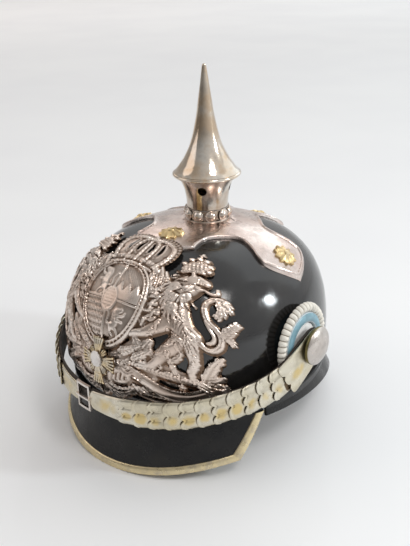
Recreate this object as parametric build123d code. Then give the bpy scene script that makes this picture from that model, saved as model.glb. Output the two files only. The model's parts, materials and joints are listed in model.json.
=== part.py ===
from build123d import *
import os
from functools import lru_cache
from math import asin, cos, hypot, pi, radians, sin, sqrt

os.makedirs("parts", exist_ok=True)

# Officer's spiked helmet. The spike's axis is X = Y = 0, the front is -Y, the wearer's
# left is +X, and Z = 0 is the table on which both visors stand.

# Skull, over the lacquered leather
skull_width = 186.0
skull_length = 202.0
skull_forward = 12.0  # the skull's middle lies this far ahead of the spike's axis
skull_wall = 3.0
rim_height = 40.0
rim_inset = 4.0  # the rim draws in from the widest place
bulge_height = 30.0  # from the rim up to the widest place
dome_rise = 78.5  # from the widest place up to the crown
dome_fullness_share = 0.71
vent_bore_radius = 11.0  # hole in the crown below the hollow neck

# Visors
visor_leather = 2.6
visor_root = 7.0  # band that is sewn round the outside of the rim
visor_seam_gap = 0.1
visor_hem_half_width = 105.0
visor_hem_half_length = 105.5
visor_side_back = 38.0  # from the skull's middle forward to the side edge's upper end
visor_corner_forward = 62.5  # from the skull's middle forward to the square corner
visor_corner_height = 13.0
visor_edge_bow = 1.2  # how far the front edge bows above a straight line
guard_hem_half_width = 101.0
guard_hem_half_length = 120.0
guard_side_drop = 4.5
guard_flank_drop = 13.0
guard_flank_back = 58.0  # where the edge starts its fall, behind the skull's middle
trim_wall = 0.8
trim_cover = 4.2
trim_gap = 0.05

# Rear spine
spine_width = 9.0
spine_ridge_width = 3.2
spine_sheet = 1.1
spine_ridge = 1.2
spine_gap = 0.15
spine_stud_radius = 2.2
spine_stud_rise = 1.6
spine_stud_drop = 14.0  # from the rim down to the stud in the guard

# Cross base on the crown
base_gap = 0.2
base_sheet = 1.3
base_bead = 1.1  # the raised rim stands this far above the sheet
base_bead_width = 2.4
base_seat_radius = 18.6  # flat seat below the pearl ring
arm_tip = 84.0
arm_flare_at = 66.0
arm_flare = 24.0  # half width
arm_waist_at = 48.0
arm_waist = 18.0  # half width
front_tip = 61.0
front_flare_at = 46.0
front_flare = 27.5
front_waist_at = 37.0
front_waist = 24.0
armpit = 28.5  # the hollow corner between two arms, along X and along Y
arm_end_bow = 5.0

# Star studs through the arms
star_radius = 9.2
star_points = 10
star_valley_share = 0.78
star_edge = 0.9
star_rise = 3.6
star_crest_share = 0.25
star_side_reach = 68.0
star_front_reach = 41.0
star_rear_reach = 67.0
stud_shank_radius = 1.5
stud_clearance = 0.4
stud_nut_radius = 4.0
stud_nut_height = 2.0
stud_tail = 0.9

# Neck and pearl ring below the spike
pearl_count = 10
pearl_radius = 4.3
pearl_circle = 13.8
pearl_turn = 30.0
pearl_band_radius = 16.2
pearl_band_height = 9.0
pearl_lip = 1.6
neck_wall = 0.9
neck_foot_radius = 14.2
neck_top_radius = 20.2
neck_height = 31.5
neck_bow_share = 0.62
vent_radius = 2.7
vent_count = 4
vent_turn = 27.0
vent_height = 25.0
socket_radius = 10.5
socket_wall = 1.6
socket_height = 9.0

# Spike
spike_height = 78.5
spike_foot_radius = 24.9
spike_tip_radius = 1.6
spike_wall = 1.0
spike_rim_radius = 1.3
spike_seat_gap = 0.1
plug_clearance = 0.06
plug_length = 9.0
plug_disc = 1.6

# Helmet plate, drawn on a plane that leans back by plate_lean
plate_lean = 40.0
plate_stand_off = 1.4
plate_sheet = 1.2
plate_flange = 0.7  # rim of flat sheet left round each raised form
plate_step = 0.3  # the raised forms start this deep inside the sheet
shield_half_width = 26.0
shield_top = 25.5
shield_bottom = 36.0
shield_relief = 4.2
shield_rim = 2.6
shield_rim_rise = 1.4
shield_bar = 1.6
shield_shoulder_share = 0.62
shield_hip_share = 0.6
shield_toe_share = 0.5
heart_share = 0.3
crown_base_half = 18.5
crown_half_width = 25.0
crown_foot = 22.0
crown_height = 27.5
crown_band = 5.0
crown_arch = 3.6
crown_clearance = 0.4  # above the front arm that the crown lies over
crown_thickness = 2.8
crown_orb_radius = 3.0
crown_top_share = 0.77
crown_wide_share = 0.53
crown_shoulder_share = 0.72
crown_arch_shares = (-1.0, -0.5, 0.0, 0.5, 1.0)
lion_inner = 19.0
lion_width = 61.0
lion_foot = 48.0  # below the drawing's middle
lion_height = 93.0
lion_relief = 3.4
lion_mass_rise = 1.4
plate_post_radius = 1.6
plate_post_across = 46.0
plate_post_height = 62.0  # above the rim
plate_nut_radius = 4.5
plate_nut_height = 2.0

# Reserve cross on the shield's lower part
cross_centre_drop = 44.0
cross_half = 13.5
cross_arm_width = 9.0
cross_waist = 3.6
cross_sheet = 1.2
cross_air = 0.1
cross_ray_half = 10.5
cross_ray_width = 5.5
medal_radius = 4.6
medal_rise = 1.2

# Side posts, cockades and the chinscales' bearing
post_forward = 6.5  # ahead of the skull's middle
post_above_rim = 43.5
post_radius = 2.5
post_nut_radius = 6.0
post_nut_height = 2.4
cockade_radius = 27.5
cockade_scallop = 0.9
cockade_scallop_count = 40
cockade_rib_width = 6.5
cockade_rib_rise = 2.4
cockade_colour_width = 7.0
cockade_colour_rise = 5.2
cockade_disc_rise = 4.2
cockade_base = 1.0
cockade_air = 0.1
cockade_back_gap = 0.3

# Chinscales
strap_lift = 8.5  # from the skull's widest face out to the leather's inner face
strap_leather = 1.6
strap_front_height = 12.5  # middle of the band above the rim, at the front
strap_width = 20.5
strap_inset = 1.2  # the leather is this much narrower at each edge than the scales
strap_pad_radius = 11.5
pad_share = 0.9
track_steps = 160
band_steps = 24
scale_thickness = 0.7
scale_air = 0.15
scale_count = 11
far_scale_count = 9
scale_overlap = 4.0
scale_root_cut = 1.0
lobe_depth = 3.2
root_plate_length = 33.0
root_plate_width = 26.0
root_plate_lift = 1.9
root_plate_fall = 33.0  # degrees below level
end_plate_length = 32.0
end_plate_width = 14.5
end_plate_thickness = 1.0
near_end = 6.0  # the wearer's left half ends this far past the middle
tongue_width = 9.0
boss_radius = 13.5
boss_height = 6.5
boss_edge = 1.6
boss_roof = 1.6
bearing_clearance = 0.05

# Buckle where the halves meet
buckle_length = 14.0
buckle_side_air = 0.8
buckle_bar = 1.8
buckle_air = 0.1
prong_radius = 0.7

# Liner
liner_gap = 0.6
sweatband_thickness = 1.4
sweatband_height = 36.0
tongue_count = 12
tongue_notch_radius = 7.0
tongue_turn_share = 0.5
lining_thickness = 0.8
lining_air = 0.3
lining_overlap = 6.0
lining_hole_radius = 24.0

overrun = 12.0  # how far a cutting body runs past what it cuts

# Places worked out from the sizes above
widest_z = rim_height + bulge_height
crown_z = widest_z + dome_rise
skull_y = -skull_forward
neck_base_z = crown_z + base_gap + base_sheet
spike_base_z = neck_base_z + neck_height + spike_seat_gap
strap_half_x = skull_width / 2 + strap_lift
strap_half_y = skull_length / 2 + strap_lift
post_y = skull_y - post_forward
post_z = rim_height + post_above_rim


def save(node, *solids):
    shapes = []
    for solid in solids:
        shapes.extend(solid.solids())
    body = shapes[0] if len(shapes) == 1 else Compound(children=shapes)
    export_step(body, f"parts/{node}.step")


@lru_cache(maxsize=None)
def dome(offset, below=0.0):
    """Everything inside the skull's outer face moved out by offset, down to the rim."""
    half = skull_width / 2 + offset
    foot = half - rim_inset
    top = crown_z + offset
    floor = rim_height - below
    handle = dome_fullness_share
    lower = Bezier((foot, rim_height), (half, rim_height + bulge_height / 2), (half, widest_z))
    upper = Bezier(
        (half, widest_z),
        (half, widest_z + handle * (top - widest_z)),
        (handle * half, top),
        (0, top),
    )
    outline = [lower, upper, Line((0, top), (0, floor))]
    if below > 0:
        outline += [Line((0, floor), (foot, floor)), Line((foot, floor), (foot, rim_height))]
    else:
        outline += [Line((0, floor), (foot, floor))]
    solid = revolve(Plane.XZ * make_face(outline), Axis.Z)
    stretch = (skull_length / 2 + offset) / half
    return Pos(0, skull_y, 0) * scale(solid, by=(1, stretch, 1))


def layer(inner, outer):
    """Shell that follows the skull between two distances from its outer face."""
    return dome(outer) - dome(inner, below=overrun)


def plan_share_at(z, offset=0.0):
    """Share of the widest plan that is left at height z, on the face moved out by offset."""
    return dome_reach(dome_turn(lambda t: dome_climb(t) * (dome_rise + offset) < z - widest_z))


def dome_turn(is_low):
    low, high = 0.0, 1.0
    for _ in range(40):
        t = (low + high) / 2
        low, high = (t, high) if is_low(t) else (low, t)
    return t


def dome_reach(t):
    return (1 - t) ** 3 + 3 * (1 - t) ** 2 * t + 3 * (1 - t) * t**2 * dome_fullness_share


def dome_climb(t):
    return 3 * (1 - t) ** 2 * t * dome_fullness_share + 3 * (1 - t) * t**2 + t**3


def crown_height_at(x, y, offset=0.0):
    """Height of the skull's face, moved out by offset, above a point of the plan."""
    half_x = skull_width / 2 + offset
    half_y = skull_length / 2 + offset
    reach = hypot(x / half_x, (y - skull_y) / half_y)
    return widest_z + dome_climb(dome_turn(lambda t: dome_reach(t) > reach)) * (dome_rise + offset)


def crown_tilt_at(x, y):
    """Plane that lies on the skull's face above a point of the plan."""
    step = skull_wall / 2
    slope_x = (crown_height_at(x + step, y) - crown_height_at(x - step, y)) / (2 * step)
    slope_y = (crown_height_at(x, y + step) - crown_height_at(x, y - step)) / (2 * step)
    normal = Vector(-slope_x, -slope_y, 1)
    return Plane(origin=(x, y, crown_height_at(x, y)), x_dir=(1, 0, slope_x), z_dir=normal)


def make_skull():
    shell = dome(0) - dome(-skull_wall, below=overrun)
    bore = Pos(0, 0, crown_z) * Cylinder(vent_bore_radius, 2 * overrun)
    shell -= bore
    for plane in star_planes():
        shell -= plane * Cylinder(stud_shank_radius + stud_clearance, 2 * overrun)
    for side in (-1, 1):
        shell -= side_drill(side, post_radius + stud_clearance)
        shell -= plate_post_plane(side) * Cylinder(plate_post_radius + stud_clearance, 2 * overrun)
    return shell


def star_planes():
    places = (
        (star_side_reach, 0),
        (-star_side_reach, 0),
        (0, star_rear_reach),
        (0, -star_front_reach),
    )
    return [crown_tilt_at(x, y) for x, y in places]


def side_drill(side, radius):
    turned = Pos(side * skull_width / 2, post_y, post_z) * Rot(0, 90, 0)
    return turned * Cylinder(radius, 2 * overrun)


def plate_post_plane(side):
    """Plane on the skull's face where a post of the helmet plate goes through."""
    z = rim_height + plate_post_height
    share = plan_share_at(z)
    across = plate_post_across / (skull_width / 2 * share)
    return crown_tilt_at(side * plate_post_across, skull_y - skull_length / 2 * share * sqrt(1 - across**2))


def rim_section(growth):
    half_x = skull_width / 2 + growth
    half_y = skull_length / 2 + growth
    foot = half_x - rim_inset
    return Pos(0, skull_y, rim_height) * Ellipse(foot, foot * half_y / half_x)


def skirt(growth, hem_half_width, hem_half_length):
    """Solid cone from the skull's rim down to the table, grown outwards all round."""
    hem = Pos(0, skull_y, 0) * Ellipse(hem_half_width + growth, hem_half_length + growth)
    return loft([hem, rim_section(growth)], ruled=True)


def side_cut(face):
    """Body that runs across the whole helmet with the given outline in the side view."""
    across = skull_width / 2 + overrun * 3
    return extrude(Plane.YZ * face, across, both=True)


def front_region(growth=0.0):
    """Side view of the front visor: straight side edge, square corner, bowed front edge."""
    corner_y = skull_y - visor_corner_forward
    front_y = skull_y - visor_hem_half_length - visor_leather
    middle_y = (corner_y + front_y) / 2
    middle_z = (visor_corner_height + trim_wall) / 2 + visor_edge_bow
    top_y = skull_y - visor_side_back
    top_z = rim_height
    edge = ThreePointArc(
        (corner_y, visor_corner_height), (middle_y, middle_z), (front_y, trim_wall)
    )
    outline = [
        Line((top_y, top_z), (corner_y, visor_corner_height)),
        edge,
        Line((front_y, trim_wall), (front_y - overrun, trim_wall)),
        Line((front_y - overrun, trim_wall), (front_y - overrun, top_z + overrun)),
        Line((front_y - overrun, top_z + overrun), (top_y, top_z + overrun)),
        Line((top_y, top_z + overrun), (top_y, top_z)),
    ]
    face = make_face(outline)
    return offset(face, growth, kind=Kind.INTERSECTION) if growth else face


def root_band(back_y, sign):
    """The part of a visor that is sewn round the outside of the skull's rim."""
    inner = visor_seam_gap
    band = dome(inner + visor_leather) - dome(inner, below=overrun)
    width = skull_width + 4 * overrun
    depth = skull_length
    box = Pos(0, back_y + sign * depth / 2, rim_height + visor_root / 2)
    return band & (box * Box(width, depth, visor_root))


def make_front_visor():
    outer = skirt(visor_seam_gap + visor_leather, visor_hem_half_width, visor_hem_half_length)
    inner = skirt(visor_seam_gap, visor_hem_half_width, visor_hem_half_length)
    peak = (outer - inner) & side_cut(front_region())
    return peak + root_band(skull_y - visor_side_back, -1)


def make_visor_trim():
    reach = visor_seam_gap + visor_leather
    hem = (visor_hem_half_width, visor_hem_half_length)
    outer = skirt(reach + trim_gap + trim_wall, *hem)
    inner = skirt(visor_seam_gap - trim_gap - trim_wall, *hem)
    band = (outer - inner) & side_cut(front_region(trim_wall))
    band -= side_cut(front_region(-trim_cover))
    sheet = skirt(reach + trim_gap, *hem) - skirt(visor_seam_gap - trim_gap, *hem)
    band -= sheet & side_cut(front_region(trim_gap))
    ceiling = Pos(0, skull_y, rim_height + overrun / 2)
    return band - ceiling * Box(skull_width * 2, skull_length * 2, overrun)


def make_rear_visor():
    outer = skirt(visor_seam_gap + visor_leather, guard_hem_half_width, guard_hem_half_length)
    inner = skirt(visor_seam_gap, guard_hem_half_width, guard_hem_half_length)
    start_y = skull_y - visor_side_back + 2 * trim_wall
    flank_y = skull_y + guard_flank_back
    rear_y = skull_y + guard_hem_half_length + visor_leather
    top = rim_height + overrun
    edge = Spline(
        (start_y, rim_height - guard_side_drop),
        (skull_y, rim_height - guard_side_drop * 1.2),
        (flank_y, rim_height - guard_flank_drop),
        (rear_y, 0),
    )
    outline = [
        edge,
        Line((rear_y, 0), (rear_y + overrun, 0)),
        Line((rear_y + overrun, 0), (rear_y + overrun, top)),
        Line((rear_y + overrun, top), (start_y, top)),
        Line((start_y, top), (start_y, rim_height - guard_side_drop)),
    ]
    flap = (outer - inner) & side_cut(make_face(outline))
    return flap + root_band(start_y, 1)


def make_rear_spine():
    reach = visor_seam_gap + visor_leather + spine_gap
    root_top = rim_height + visor_root + spine_gap
    parts = []
    for width, thickness in ((spine_width, 0), (spine_ridge_width, spine_ridge)):
        outer = spine_sheet + thickness
        strip = spine_column(width, root_top, crown_z)
        parts.append(layer(spine_gap, spine_gap + outer) & strip)
        step = spine_column(width, root_top, root_top + spine_sheet)
        parts.append(layer(spine_gap, reach + outer) & step)
        over = spine_column(width, rim_height, root_top)
        parts.append(layer(reach, reach + outer) & over)
        hem = (guard_hem_half_width, guard_hem_half_length)
        flap = skirt(reach + outer, *hem) - skirt(reach, *hem)
        parts.append(flap & spine_column(width, trim_wall, rim_height))
    spine = parts[0].fuse(*parts[1:])
    clear = extrude(cross_outline(base_gap), crown_z + overrun)
    return spine - clear


def spine_column(width, bottom, top):
    depth = skull_length
    box = Pos(0, skull_y + depth / 2 + spine_width, (bottom + top) / 2)
    return box * Box(width, depth, top - bottom)


def make_spine_studs():
    face = spine_gap + spine_sheet + spine_ridge + cross_air
    reach = visor_seam_gap + visor_leather + face
    half = skull_width / 2 + reach
    rim_back = (half - rim_inset) * (skull_length / 2 + reach) / half
    hem_back = guard_hem_half_length + reach
    back = rim_back + (hem_back - rim_back) * spine_stud_drop / rim_height
    lower = Plane(
        origin=(0, skull_y + back, rim_height - spine_stud_drop),
        x_dir=(1, 0, 0),
        z_dir=(0, rim_height, hem_back - rim_back),
    )
    upper_y = skull_y + skull_length / 2 + face
    upper = Plane(origin=(0, upper_y, widest_z), x_dir=(1, 0, 0), z_dir=(0, 1, 0))
    studs = []
    for plane in (lower, upper):
        head = extrude(plane * Circle(spine_stud_radius), spine_stud_rise)
        studs.append(head)
    return studs


def cross_outline(growth=0.0):
    """Plan of the base: pointed flared arms with hollow sides, and a short front arm."""
    tip = arm_tip + growth
    flare_at = arm_flare_at + growth / 2
    flare = arm_flare + growth
    waist = arm_waist + growth
    pit = armpit + growth / sqrt(2)
    side = [
        arm_end((0, tip), (flare, flare_at)),
        Spline(
            (flare, flare_at),
            (waist, arm_waist_at),
            (pit, pit),
            (arm_waist_at, waist),
            (flare_at, flare),
        ),
        arm_end((flare_at, flare), (tip, 0)),
        arm_end((tip, 0), (flare_at, -flare)),
        Spline(
            (flare_at, -flare),
            (arm_waist_at, -waist),
            (pit, -pit),
            (front_waist + growth, -front_waist_at),
            (front_flare + growth, -front_flare_at - growth / 2),
        ),
        arm_end((front_flare + growth, -front_flare_at - growth / 2), (0, -front_tip - growth)),
    ]
    right = Curve() + side
    return make_face(right.edges() + mirror(right, about=Plane.YZ).edges())


def arm_end(start, end):
    """One side of an arm's pointed end, bowed outwards."""
    middle = Vector((start[0] + end[0]) / 2, (start[1] + end[1]) / 2)
    outward = middle.normalized() * arm_end_bow
    return ThreePointArc(start, middle + outward, end)


def make_cross_base():
    outline = Pos(0, 0, rim_height) * cross_outline()
    top = base_gap + base_sheet
    inside = extrude(Pos(0, 0, rim_height) * cross_outline(-base_bead_width), crown_z)
    blank = extrude(outline, crown_z)
    base = (dome(top + base_bead) & blank) - inside
    base += dome(top) & blank
    base += Pos(0, 0, neck_base_z - overrun / 2) * Cylinder(base_seat_radius, overrun)
    base -= dome(base_gap, below=overrun)
    base -= Pos(0, 0, crown_z) * Cylinder(vent_bore_radius, 2 * overrun)
    for plane in star_planes():
        base -= plane * Cylinder(stud_shank_radius + stud_clearance, 2 * overrun)
    return base


def star_face(radius):
    points = []
    for i in range(2 * star_points):
        reach = radius if i % 2 == 0 else radius * star_valley_share
        angle = pi * i / star_points
        points.append((reach * cos(angle), reach * sin(angle)))
    return make_face(Polyline(*points, close=True))


def star_seat(plane):
    """Height of the base's outer face above the skull, measured along a stud's own axis."""
    place = plane.origin
    face = crown_height_at(place.X, place.Y, base_gap + base_sheet)
    return (face - place.Z) * plane.z_dir.Z + bearing_clearance


def make_star_studs():
    studs = []
    for plane in star_planes():
        seat = star_seat(plane)
        head = extrude(star_face(star_radius), star_edge)
        crest = Pos(0, 0, star_rise) * star_face(star_radius * star_crest_share)
        head += loft([Pos(0, 0, star_edge) * star_face(star_radius), crest], ruled=True)
        length = seat + skull_wall + stud_clearance + stud_nut_height + stud_tail
        shank = Pos(0, 0, star_edge / 2 - (length + star_edge / 2) / 2)
        head += shank * Cylinder(stud_shank_radius, length + star_edge / 2)
        studs.append(plane * Pos(0, 0, seat) * head)
    return studs


def make_stud_nuts():
    nuts = []
    for plane in star_planes():
        nut = extrude(RegularPolygon(stud_nut_radius, 6), -stud_nut_height)
        nut -= Cylinder(stud_shank_radius + bearing_clearance, overrun)
        nuts.append(plane * Pos(0, 0, -skull_wall - stud_clearance) * nut)
    return nuts


def make_pearl_ring():
    bore = neck_foot_radius + bearing_clearance
    low = neck_base_z
    high = neck_base_z + pearl_band_height
    inner = pearl_band_radius - pearl_lip
    outline = Polyline(
        (bore, low),
        (pearl_band_radius + pearl_lip / 2, low),
        (pearl_band_radius + pearl_lip / 2, low + pearl_lip / 2),
        (inner + pearl_lip / 2, low + pearl_lip),
        (inner + pearl_lip / 2, high - pearl_lip),
        (pearl_band_radius, high - pearl_lip / 2),
        (pearl_band_radius, high),
        (bore, high),
        close=True,
    )
    ring = revolve(Plane.XZ * make_face(outline), Axis.Z)
    pearls = []
    for i in range(pearl_count):
        angle = pearl_turn + 360 * i / pearl_count
        place = Rot(0, 0, angle) * Pos(pearl_circle, 0, (low + high) / 2)
        pearls.append(place * Sphere(pearl_radius))
    ring = ring.fuse(*pearls)
    return ring - Pos(0, 0, (low + high) / 2) * Cylinder(bore, pearl_band_height * 2)


def make_spike_neck():
    low = neck_base_z
    collar = neck_base_z + pearl_band_height
    high = neck_base_z + neck_height
    bend = collar + (high - collar) * neck_bow_share
    walls = []
    for growth in (0, -neck_wall):
        foot = neck_foot_radius + growth
        top = neck_top_radius + growth
        walls.append((foot, top, Bezier((foot, collar), (foot, bend), (top, high))))
    (foot, top, outer), (inner_foot, inner_top, inner) = walls
    outline = [
        Line((foot, low), (foot, collar)),
        outer,
        Line((top, high), (inner_top, high)),
        inner,
        Line((inner_foot, collar), (inner_foot, low)),
        Line((inner_foot, low), (foot, low)),
    ]
    neck = revolve(Plane.XZ * make_face(outline), Axis.Z)
    for i in range(vent_count):
        turn = Rot(0, 0, vent_turn - 90 + 360 * i / vent_count)
        hole = turn * Pos(neck_top_radius, 0, neck_base_z + vent_height) * Rot(0, 90, 0)
        neck -= hole * Cylinder(vent_radius, overrun)
    return neck


def make_neck_socket():
    high = neck_base_z + neck_height
    bend = (neck_height - pearl_band_height) * (1 - neck_bow_share)
    slope = (neck_top_radius - neck_foot_radius) / bend
    rim = neck_top_radius - neck_wall - bearing_clearance
    rim_low = rim - socket_wall * slope
    outline = Polyline(
        (socket_radius, high),
        (rim, high),
        (rim_low, high - socket_wall),
        (socket_radius + socket_wall, high - socket_wall),
        (socket_radius + socket_wall, high - socket_height),
        (socket_radius, high - socket_height),
        close=True,
    )
    return revolve(Plane.XZ * make_face(outline), Axis.Z)


spike_profile_shares = (
    (0.06, 0.86),
    (0.133, 0.674),
    (0.267, 0.5),
    (0.4, 0.37),
    (0.667, 0.209),
    (0.933, 0.083),
)


def make_spike_cone():
    foot = spike_base_z
    body = spike_height - 2 * spike_rim_radius - spike_tip_radius
    start = foot + 2 * spike_rim_radius
    edge_radius = spike_foot_radius - spike_rim_radius
    top = start + body

    def flank(growth):
        points = [(edge_radius + growth, start)]
        for height_share, radius_share in spike_profile_shares:
            reach = spike_foot_radius * radius_share + growth
            points.append((reach, start + body * height_share))
        return points

    outer = flank(0) + [(spike_tip_radius, top)]
    rim_side = ThreePointArc(
        (edge_radius, foot), (spike_foot_radius, foot + spike_rim_radius), (edge_radius, start)
    )
    tip = ThreePointArc(
        (spike_tip_radius, top),
        (spike_tip_radius * cos(pi / 4), top + spike_tip_radius * sin(pi / 4)),
        (0, top + spike_tip_radius),
    )
    outline = [
        Line((0, foot), (edge_radius, foot)),
        rim_side,
        Spline(*outer),
        tip,
        Line((0, top + spike_tip_radius), (0, foot)),
    ]
    cone = revolve(Plane.XZ * make_face(outline), Axis.Z)
    inner = flank(-spike_wall)[:-1]
    reach, height = inner[-1]
    hollow = [
        Line((0, foot), (edge_radius - spike_wall, foot)),
        Line((edge_radius - spike_wall, foot), inner[0]),
        Spline(*inner),
        Line((reach, height), (0, height)),
        Line((0, height), (0, foot)),
    ]
    return cone - revolve(Plane.XZ * make_face(hollow), Axis.Z)


def make_spike_plug():
    foot = spike_base_z
    disc_radius = spike_foot_radius - spike_rim_radius - spike_wall - bearing_clearance
    disc = Pos(0, 0, foot + plug_disc / 2) * Cylinder(disc_radius, plug_disc)
    disc = chamfer(disc.edges().group_by(Axis.Z)[-1], plug_disc / 3)
    thread = Pos(0, 0, foot + plug_disc - (plug_length + plug_disc) / 2)
    return disc + thread * Cylinder(socket_radius - plug_clearance, plug_length + plug_disc)


def plate_view():
    """The plane the helmet plate is drawn on: X across, Y up and back along the lean."""
    lean = radians(plate_lean)
    return Plane(origin=(0, 0, rim_height), x_dir=(1, 0, 0), z_dir=(0, -cos(lean), sin(lean)))


def on_plate(face, inner, outer):
    """The drawn face, thrown onto the skull's front between two distances from the leather."""
    return extrude(plate_view() * Pos(0, 0, dome_rise / 4) * face, skull_length) & layer(inner, outer)


def stroke(row, growth=0.0):
    """Tapered stroke with round ends through a row of places, as shares of the lion's size."""
    places = []
    for across, up, radius in row:
        point = Vector(lion_inner + lion_width * across, lion_height * up - lion_foot)
        places.append((point, lion_width * radius + growth))
    left = []
    right = []
    for i, (point, radius) in enumerate(places):
        before = places[max(i - 1, 0)][0]
        after = places[min(i + 1, len(places) - 1)][0]
        along = (after - before).normalized()
        side = Vector(-along.Y, along.X) * radius
        left.append(point + side)
        right.append(point - side)
    first, first_radius = places[0]
    last, last_radius = places[-1]
    start = (places[0][0] - places[1][0]).normalized() * first_radius
    end = (places[-1][0] - places[-2][0]).normalized() * last_radius
    flank = Line if len(places) == 2 else Spline
    return make_face([
        flank(*left), ThreePointArc(left[-1], last + end, right[-1]),
        flank(*right), ThreePointArc(right[0], first + start, left[0]),
    ])


def strokes(table, growth=0.0):
    return [stroke(row, growth) for row in table]


def near_half(faces):
    """What lies on the wearer's left of the middle."""
    reach = lion_inner + lion_width
    return (Sketch() + faces) & (Pos(reach, 0) * Rectangle(2 * reach, 4 * lion_height))


lion_mass_shares = (
    ((0.426, 0.753, 0.115), (0.590, 0.785, 0.052)),
    ((0.377, 0.699, 0.131), (0.443, 0.602, 0.131)),
    ((0.344, 0.602, 0.139), (0.459, 0.495, 0.123), (0.574, 0.419, 0.105)),
    ((0.566, 0.419, 0.108), (0.607, 0.387, 0.108)),
)

lion_limb_shares = (
    ((0.541, 0.720, 0.025), (0.672, 0.753, 0.025)),
    ((0.320, 0.853, 0.075), (0.459, 0.879, 0.078)),
    ((0.361, 0.903, 0.049), (0.344, 0.978, 0.033)),
    ((0.623, 0.398, 0.098), (0.689, 0.280, 0.059), (0.689, 0.183, 0.049), (0.787, 0.161, 0.041)),
    ((0.557, 0.387, 0.090), (0.426, 0.247, 0.069), (0.344, 0.161, 0.049), (0.246, 0.118, 0.041)),
    ((0.279, 0.602, 0.082), (0.148, 0.613, 0.057), (0.016, 0.699, 0.049), (0.049, 0.763, 0.041)),
    ((0.377, 0.452, 0.082), (0.213, 0.344, 0.056), (0.016, 0.290, 0.046)),
)

trim_shares = (
    (
        (0.623, 0.484, 0.036),
        (0.721, 0.419, 0.031),
        (0.820, 0.387, 0.031),
        (0.902, 0.435, 0.031),
        (0.902, 0.505, 0.031),
        (0.820, 0.548, 0.031),
        (0.738, 0.570, 0.031),
        (0.656, 0.629, 0.031),
        (0.648, 0.684, 0.031),
        (0.698, 0.731, 0.040),
        (0.803, 0.720, 0.059),
    ),
    ((0.869, 0.535, 0.043), (0.934, 0.559, 0.062), (0.950, 0.624, 0.030)),
    ((0.820, 0.204, 0.074), (0.918, 0.366, 0.043)),
    ((0.836, 0.225, 0.060), (0.951, 0.225, 0.026)),
    ((0.066, 0.581, 0.045), (0.131, 0.753, 0.026)),
    (
        (0.049, 0.032, 0.048),
        (0.246, 0.025, 0.048),
        (0.377, 0.000, 0.048),
        (0.508, 0.011, 0.048),
        (0.656, 0.047, 0.048),
        (0.787, 0.113, 0.048),
        (0.885, 0.199, 0.044),
    ),
    ((0.049, 0.108, 0.049), (0.426, 0.124, 0.049), (0.672, 0.151, 0.049), (0.820, 0.161, 0.049)),
    ((-0.311, 0.065, 0.148), (-0.311, -0.097, 0.107)),
    ((-0.311, -0.080, 0.100), (0.082, -0.065, 0.069)),
)


def shield_face(growth):
    """Oval shield, a little fuller at the top."""
    half = shield_half_width + growth
    top = shield_top + growth
    low = shield_bottom + growth
    side = [
        Bezier((0, top), (half * shield_shoulder_share, top), (half, top * shield_hip_share), (half, 0)),
        Bezier((half, 0), (half, -low * shield_hip_share), (half * shield_toe_share, -low), (0, -low)),
    ]
    right = Curve() + side
    return make_face(right.edges() + mirror(right, about=Plane.YZ).edges())


def shield_bars():
    """The raised rim, the quartering and the small heart shield."""
    rim = shield_face(-plate_flange) - shield_face(-plate_flange - shield_rim)
    height = shield_top + shield_bottom
    middle = (shield_top - shield_bottom) / 2
    upright = Pos(0, middle) * Rectangle(shield_bar, height - shield_rim)
    level = Pos(0, middle) * Rectangle(2 * shield_half_width - shield_rim, shield_bar)
    heart = Pos(0, middle) * Ellipse(shield_half_width * heart_share, height * heart_share / 2)
    return (rim + upright + level) + heart


def crown_strokes(growth):
    """Arches of the crown, then its orb and small cross."""
    width = crown_arch + 2 * growth
    foot = crown_foot + crown_band / 2
    top = crown_foot + crown_height * crown_top_share
    wide = crown_foot + crown_height * crown_wide_share
    faces = []
    for share in crown_arch_shares:
        start = (crown_base_half * share, foot)
        side = (crown_half_width * share, wide)
        over = (crown_half_width * share * crown_shoulder_share, top - crown_arch)
        faces.append(trace(Spline(start, side, over, (0, top)), width))
    band = Pos(0, foot) * Rectangle(2 * (crown_base_half + crown_arch + growth), crown_band + 2 * growth)
    orb_y = top + crown_orb_radius
    faces += [band, Pos(0, orb_y) * Circle(crown_orb_radius + growth)]
    tip = crown_foot + crown_height
    faces.append(Pos(0, (orb_y + tip) / 2) * Rectangle(width / 2, tip - orb_y))
    return faces


def make_helmet_plate():
    """One half in steps, from the flat sheet up to the highest forms, and then its mirror."""
    slim = -plate_flange
    low = plate_stand_off + plate_step
    everything = strokes(lion_mass_shares) + strokes(lion_limb_shares) + strokes(trim_shares)
    sheet = near_half(everything + [shield_face(0)])
    raised = near_half(strokes(lion_mass_shares, slim) + strokes(lion_limb_shares, slim)
                       + strokes(trim_shares, slim))
    mass = near_half(strokes(lion_mass_shares, 2 * slim))
    shield = near_half([shield_face(slim)])
    crown = near_half(crown_strokes(0))
    over_arm = base_gap + base_sheet + base_bead + crown_clearance
    steps = (
        (sheet, plate_stand_off, plate_sheet),
        (raised, low, lion_relief),
        (mass, low + plate_step, lion_relief + lion_mass_rise),
        (shield, low + plate_step / 2, shield_relief),
        (near_half([shield_bars()]), low + plate_step, shield_relief + shield_rim_rise),
    )
    pieces = [on_plate(face, inner, plate_stand_off + rise) for face, inner, rise in steps]
    pieces.append(on_plate(crown, over_arm, over_arm + crown_thickness))
    half = pieces[0].fuse(*pieces[1:])
    return half + mirror(half, about=Plane.YZ)


def make_plate_posts():
    top = plate_stand_off - bearing_clearance
    length = top + skull_wall + stud_clearance + plate_nut_height + stud_tail
    posts = []
    for side in (-1, 1):
        middle = Pos(0, 0, top - length / 2)
        posts.append(plate_post_plane(side) * middle * Cylinder(plate_post_radius, length))
    return posts


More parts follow.
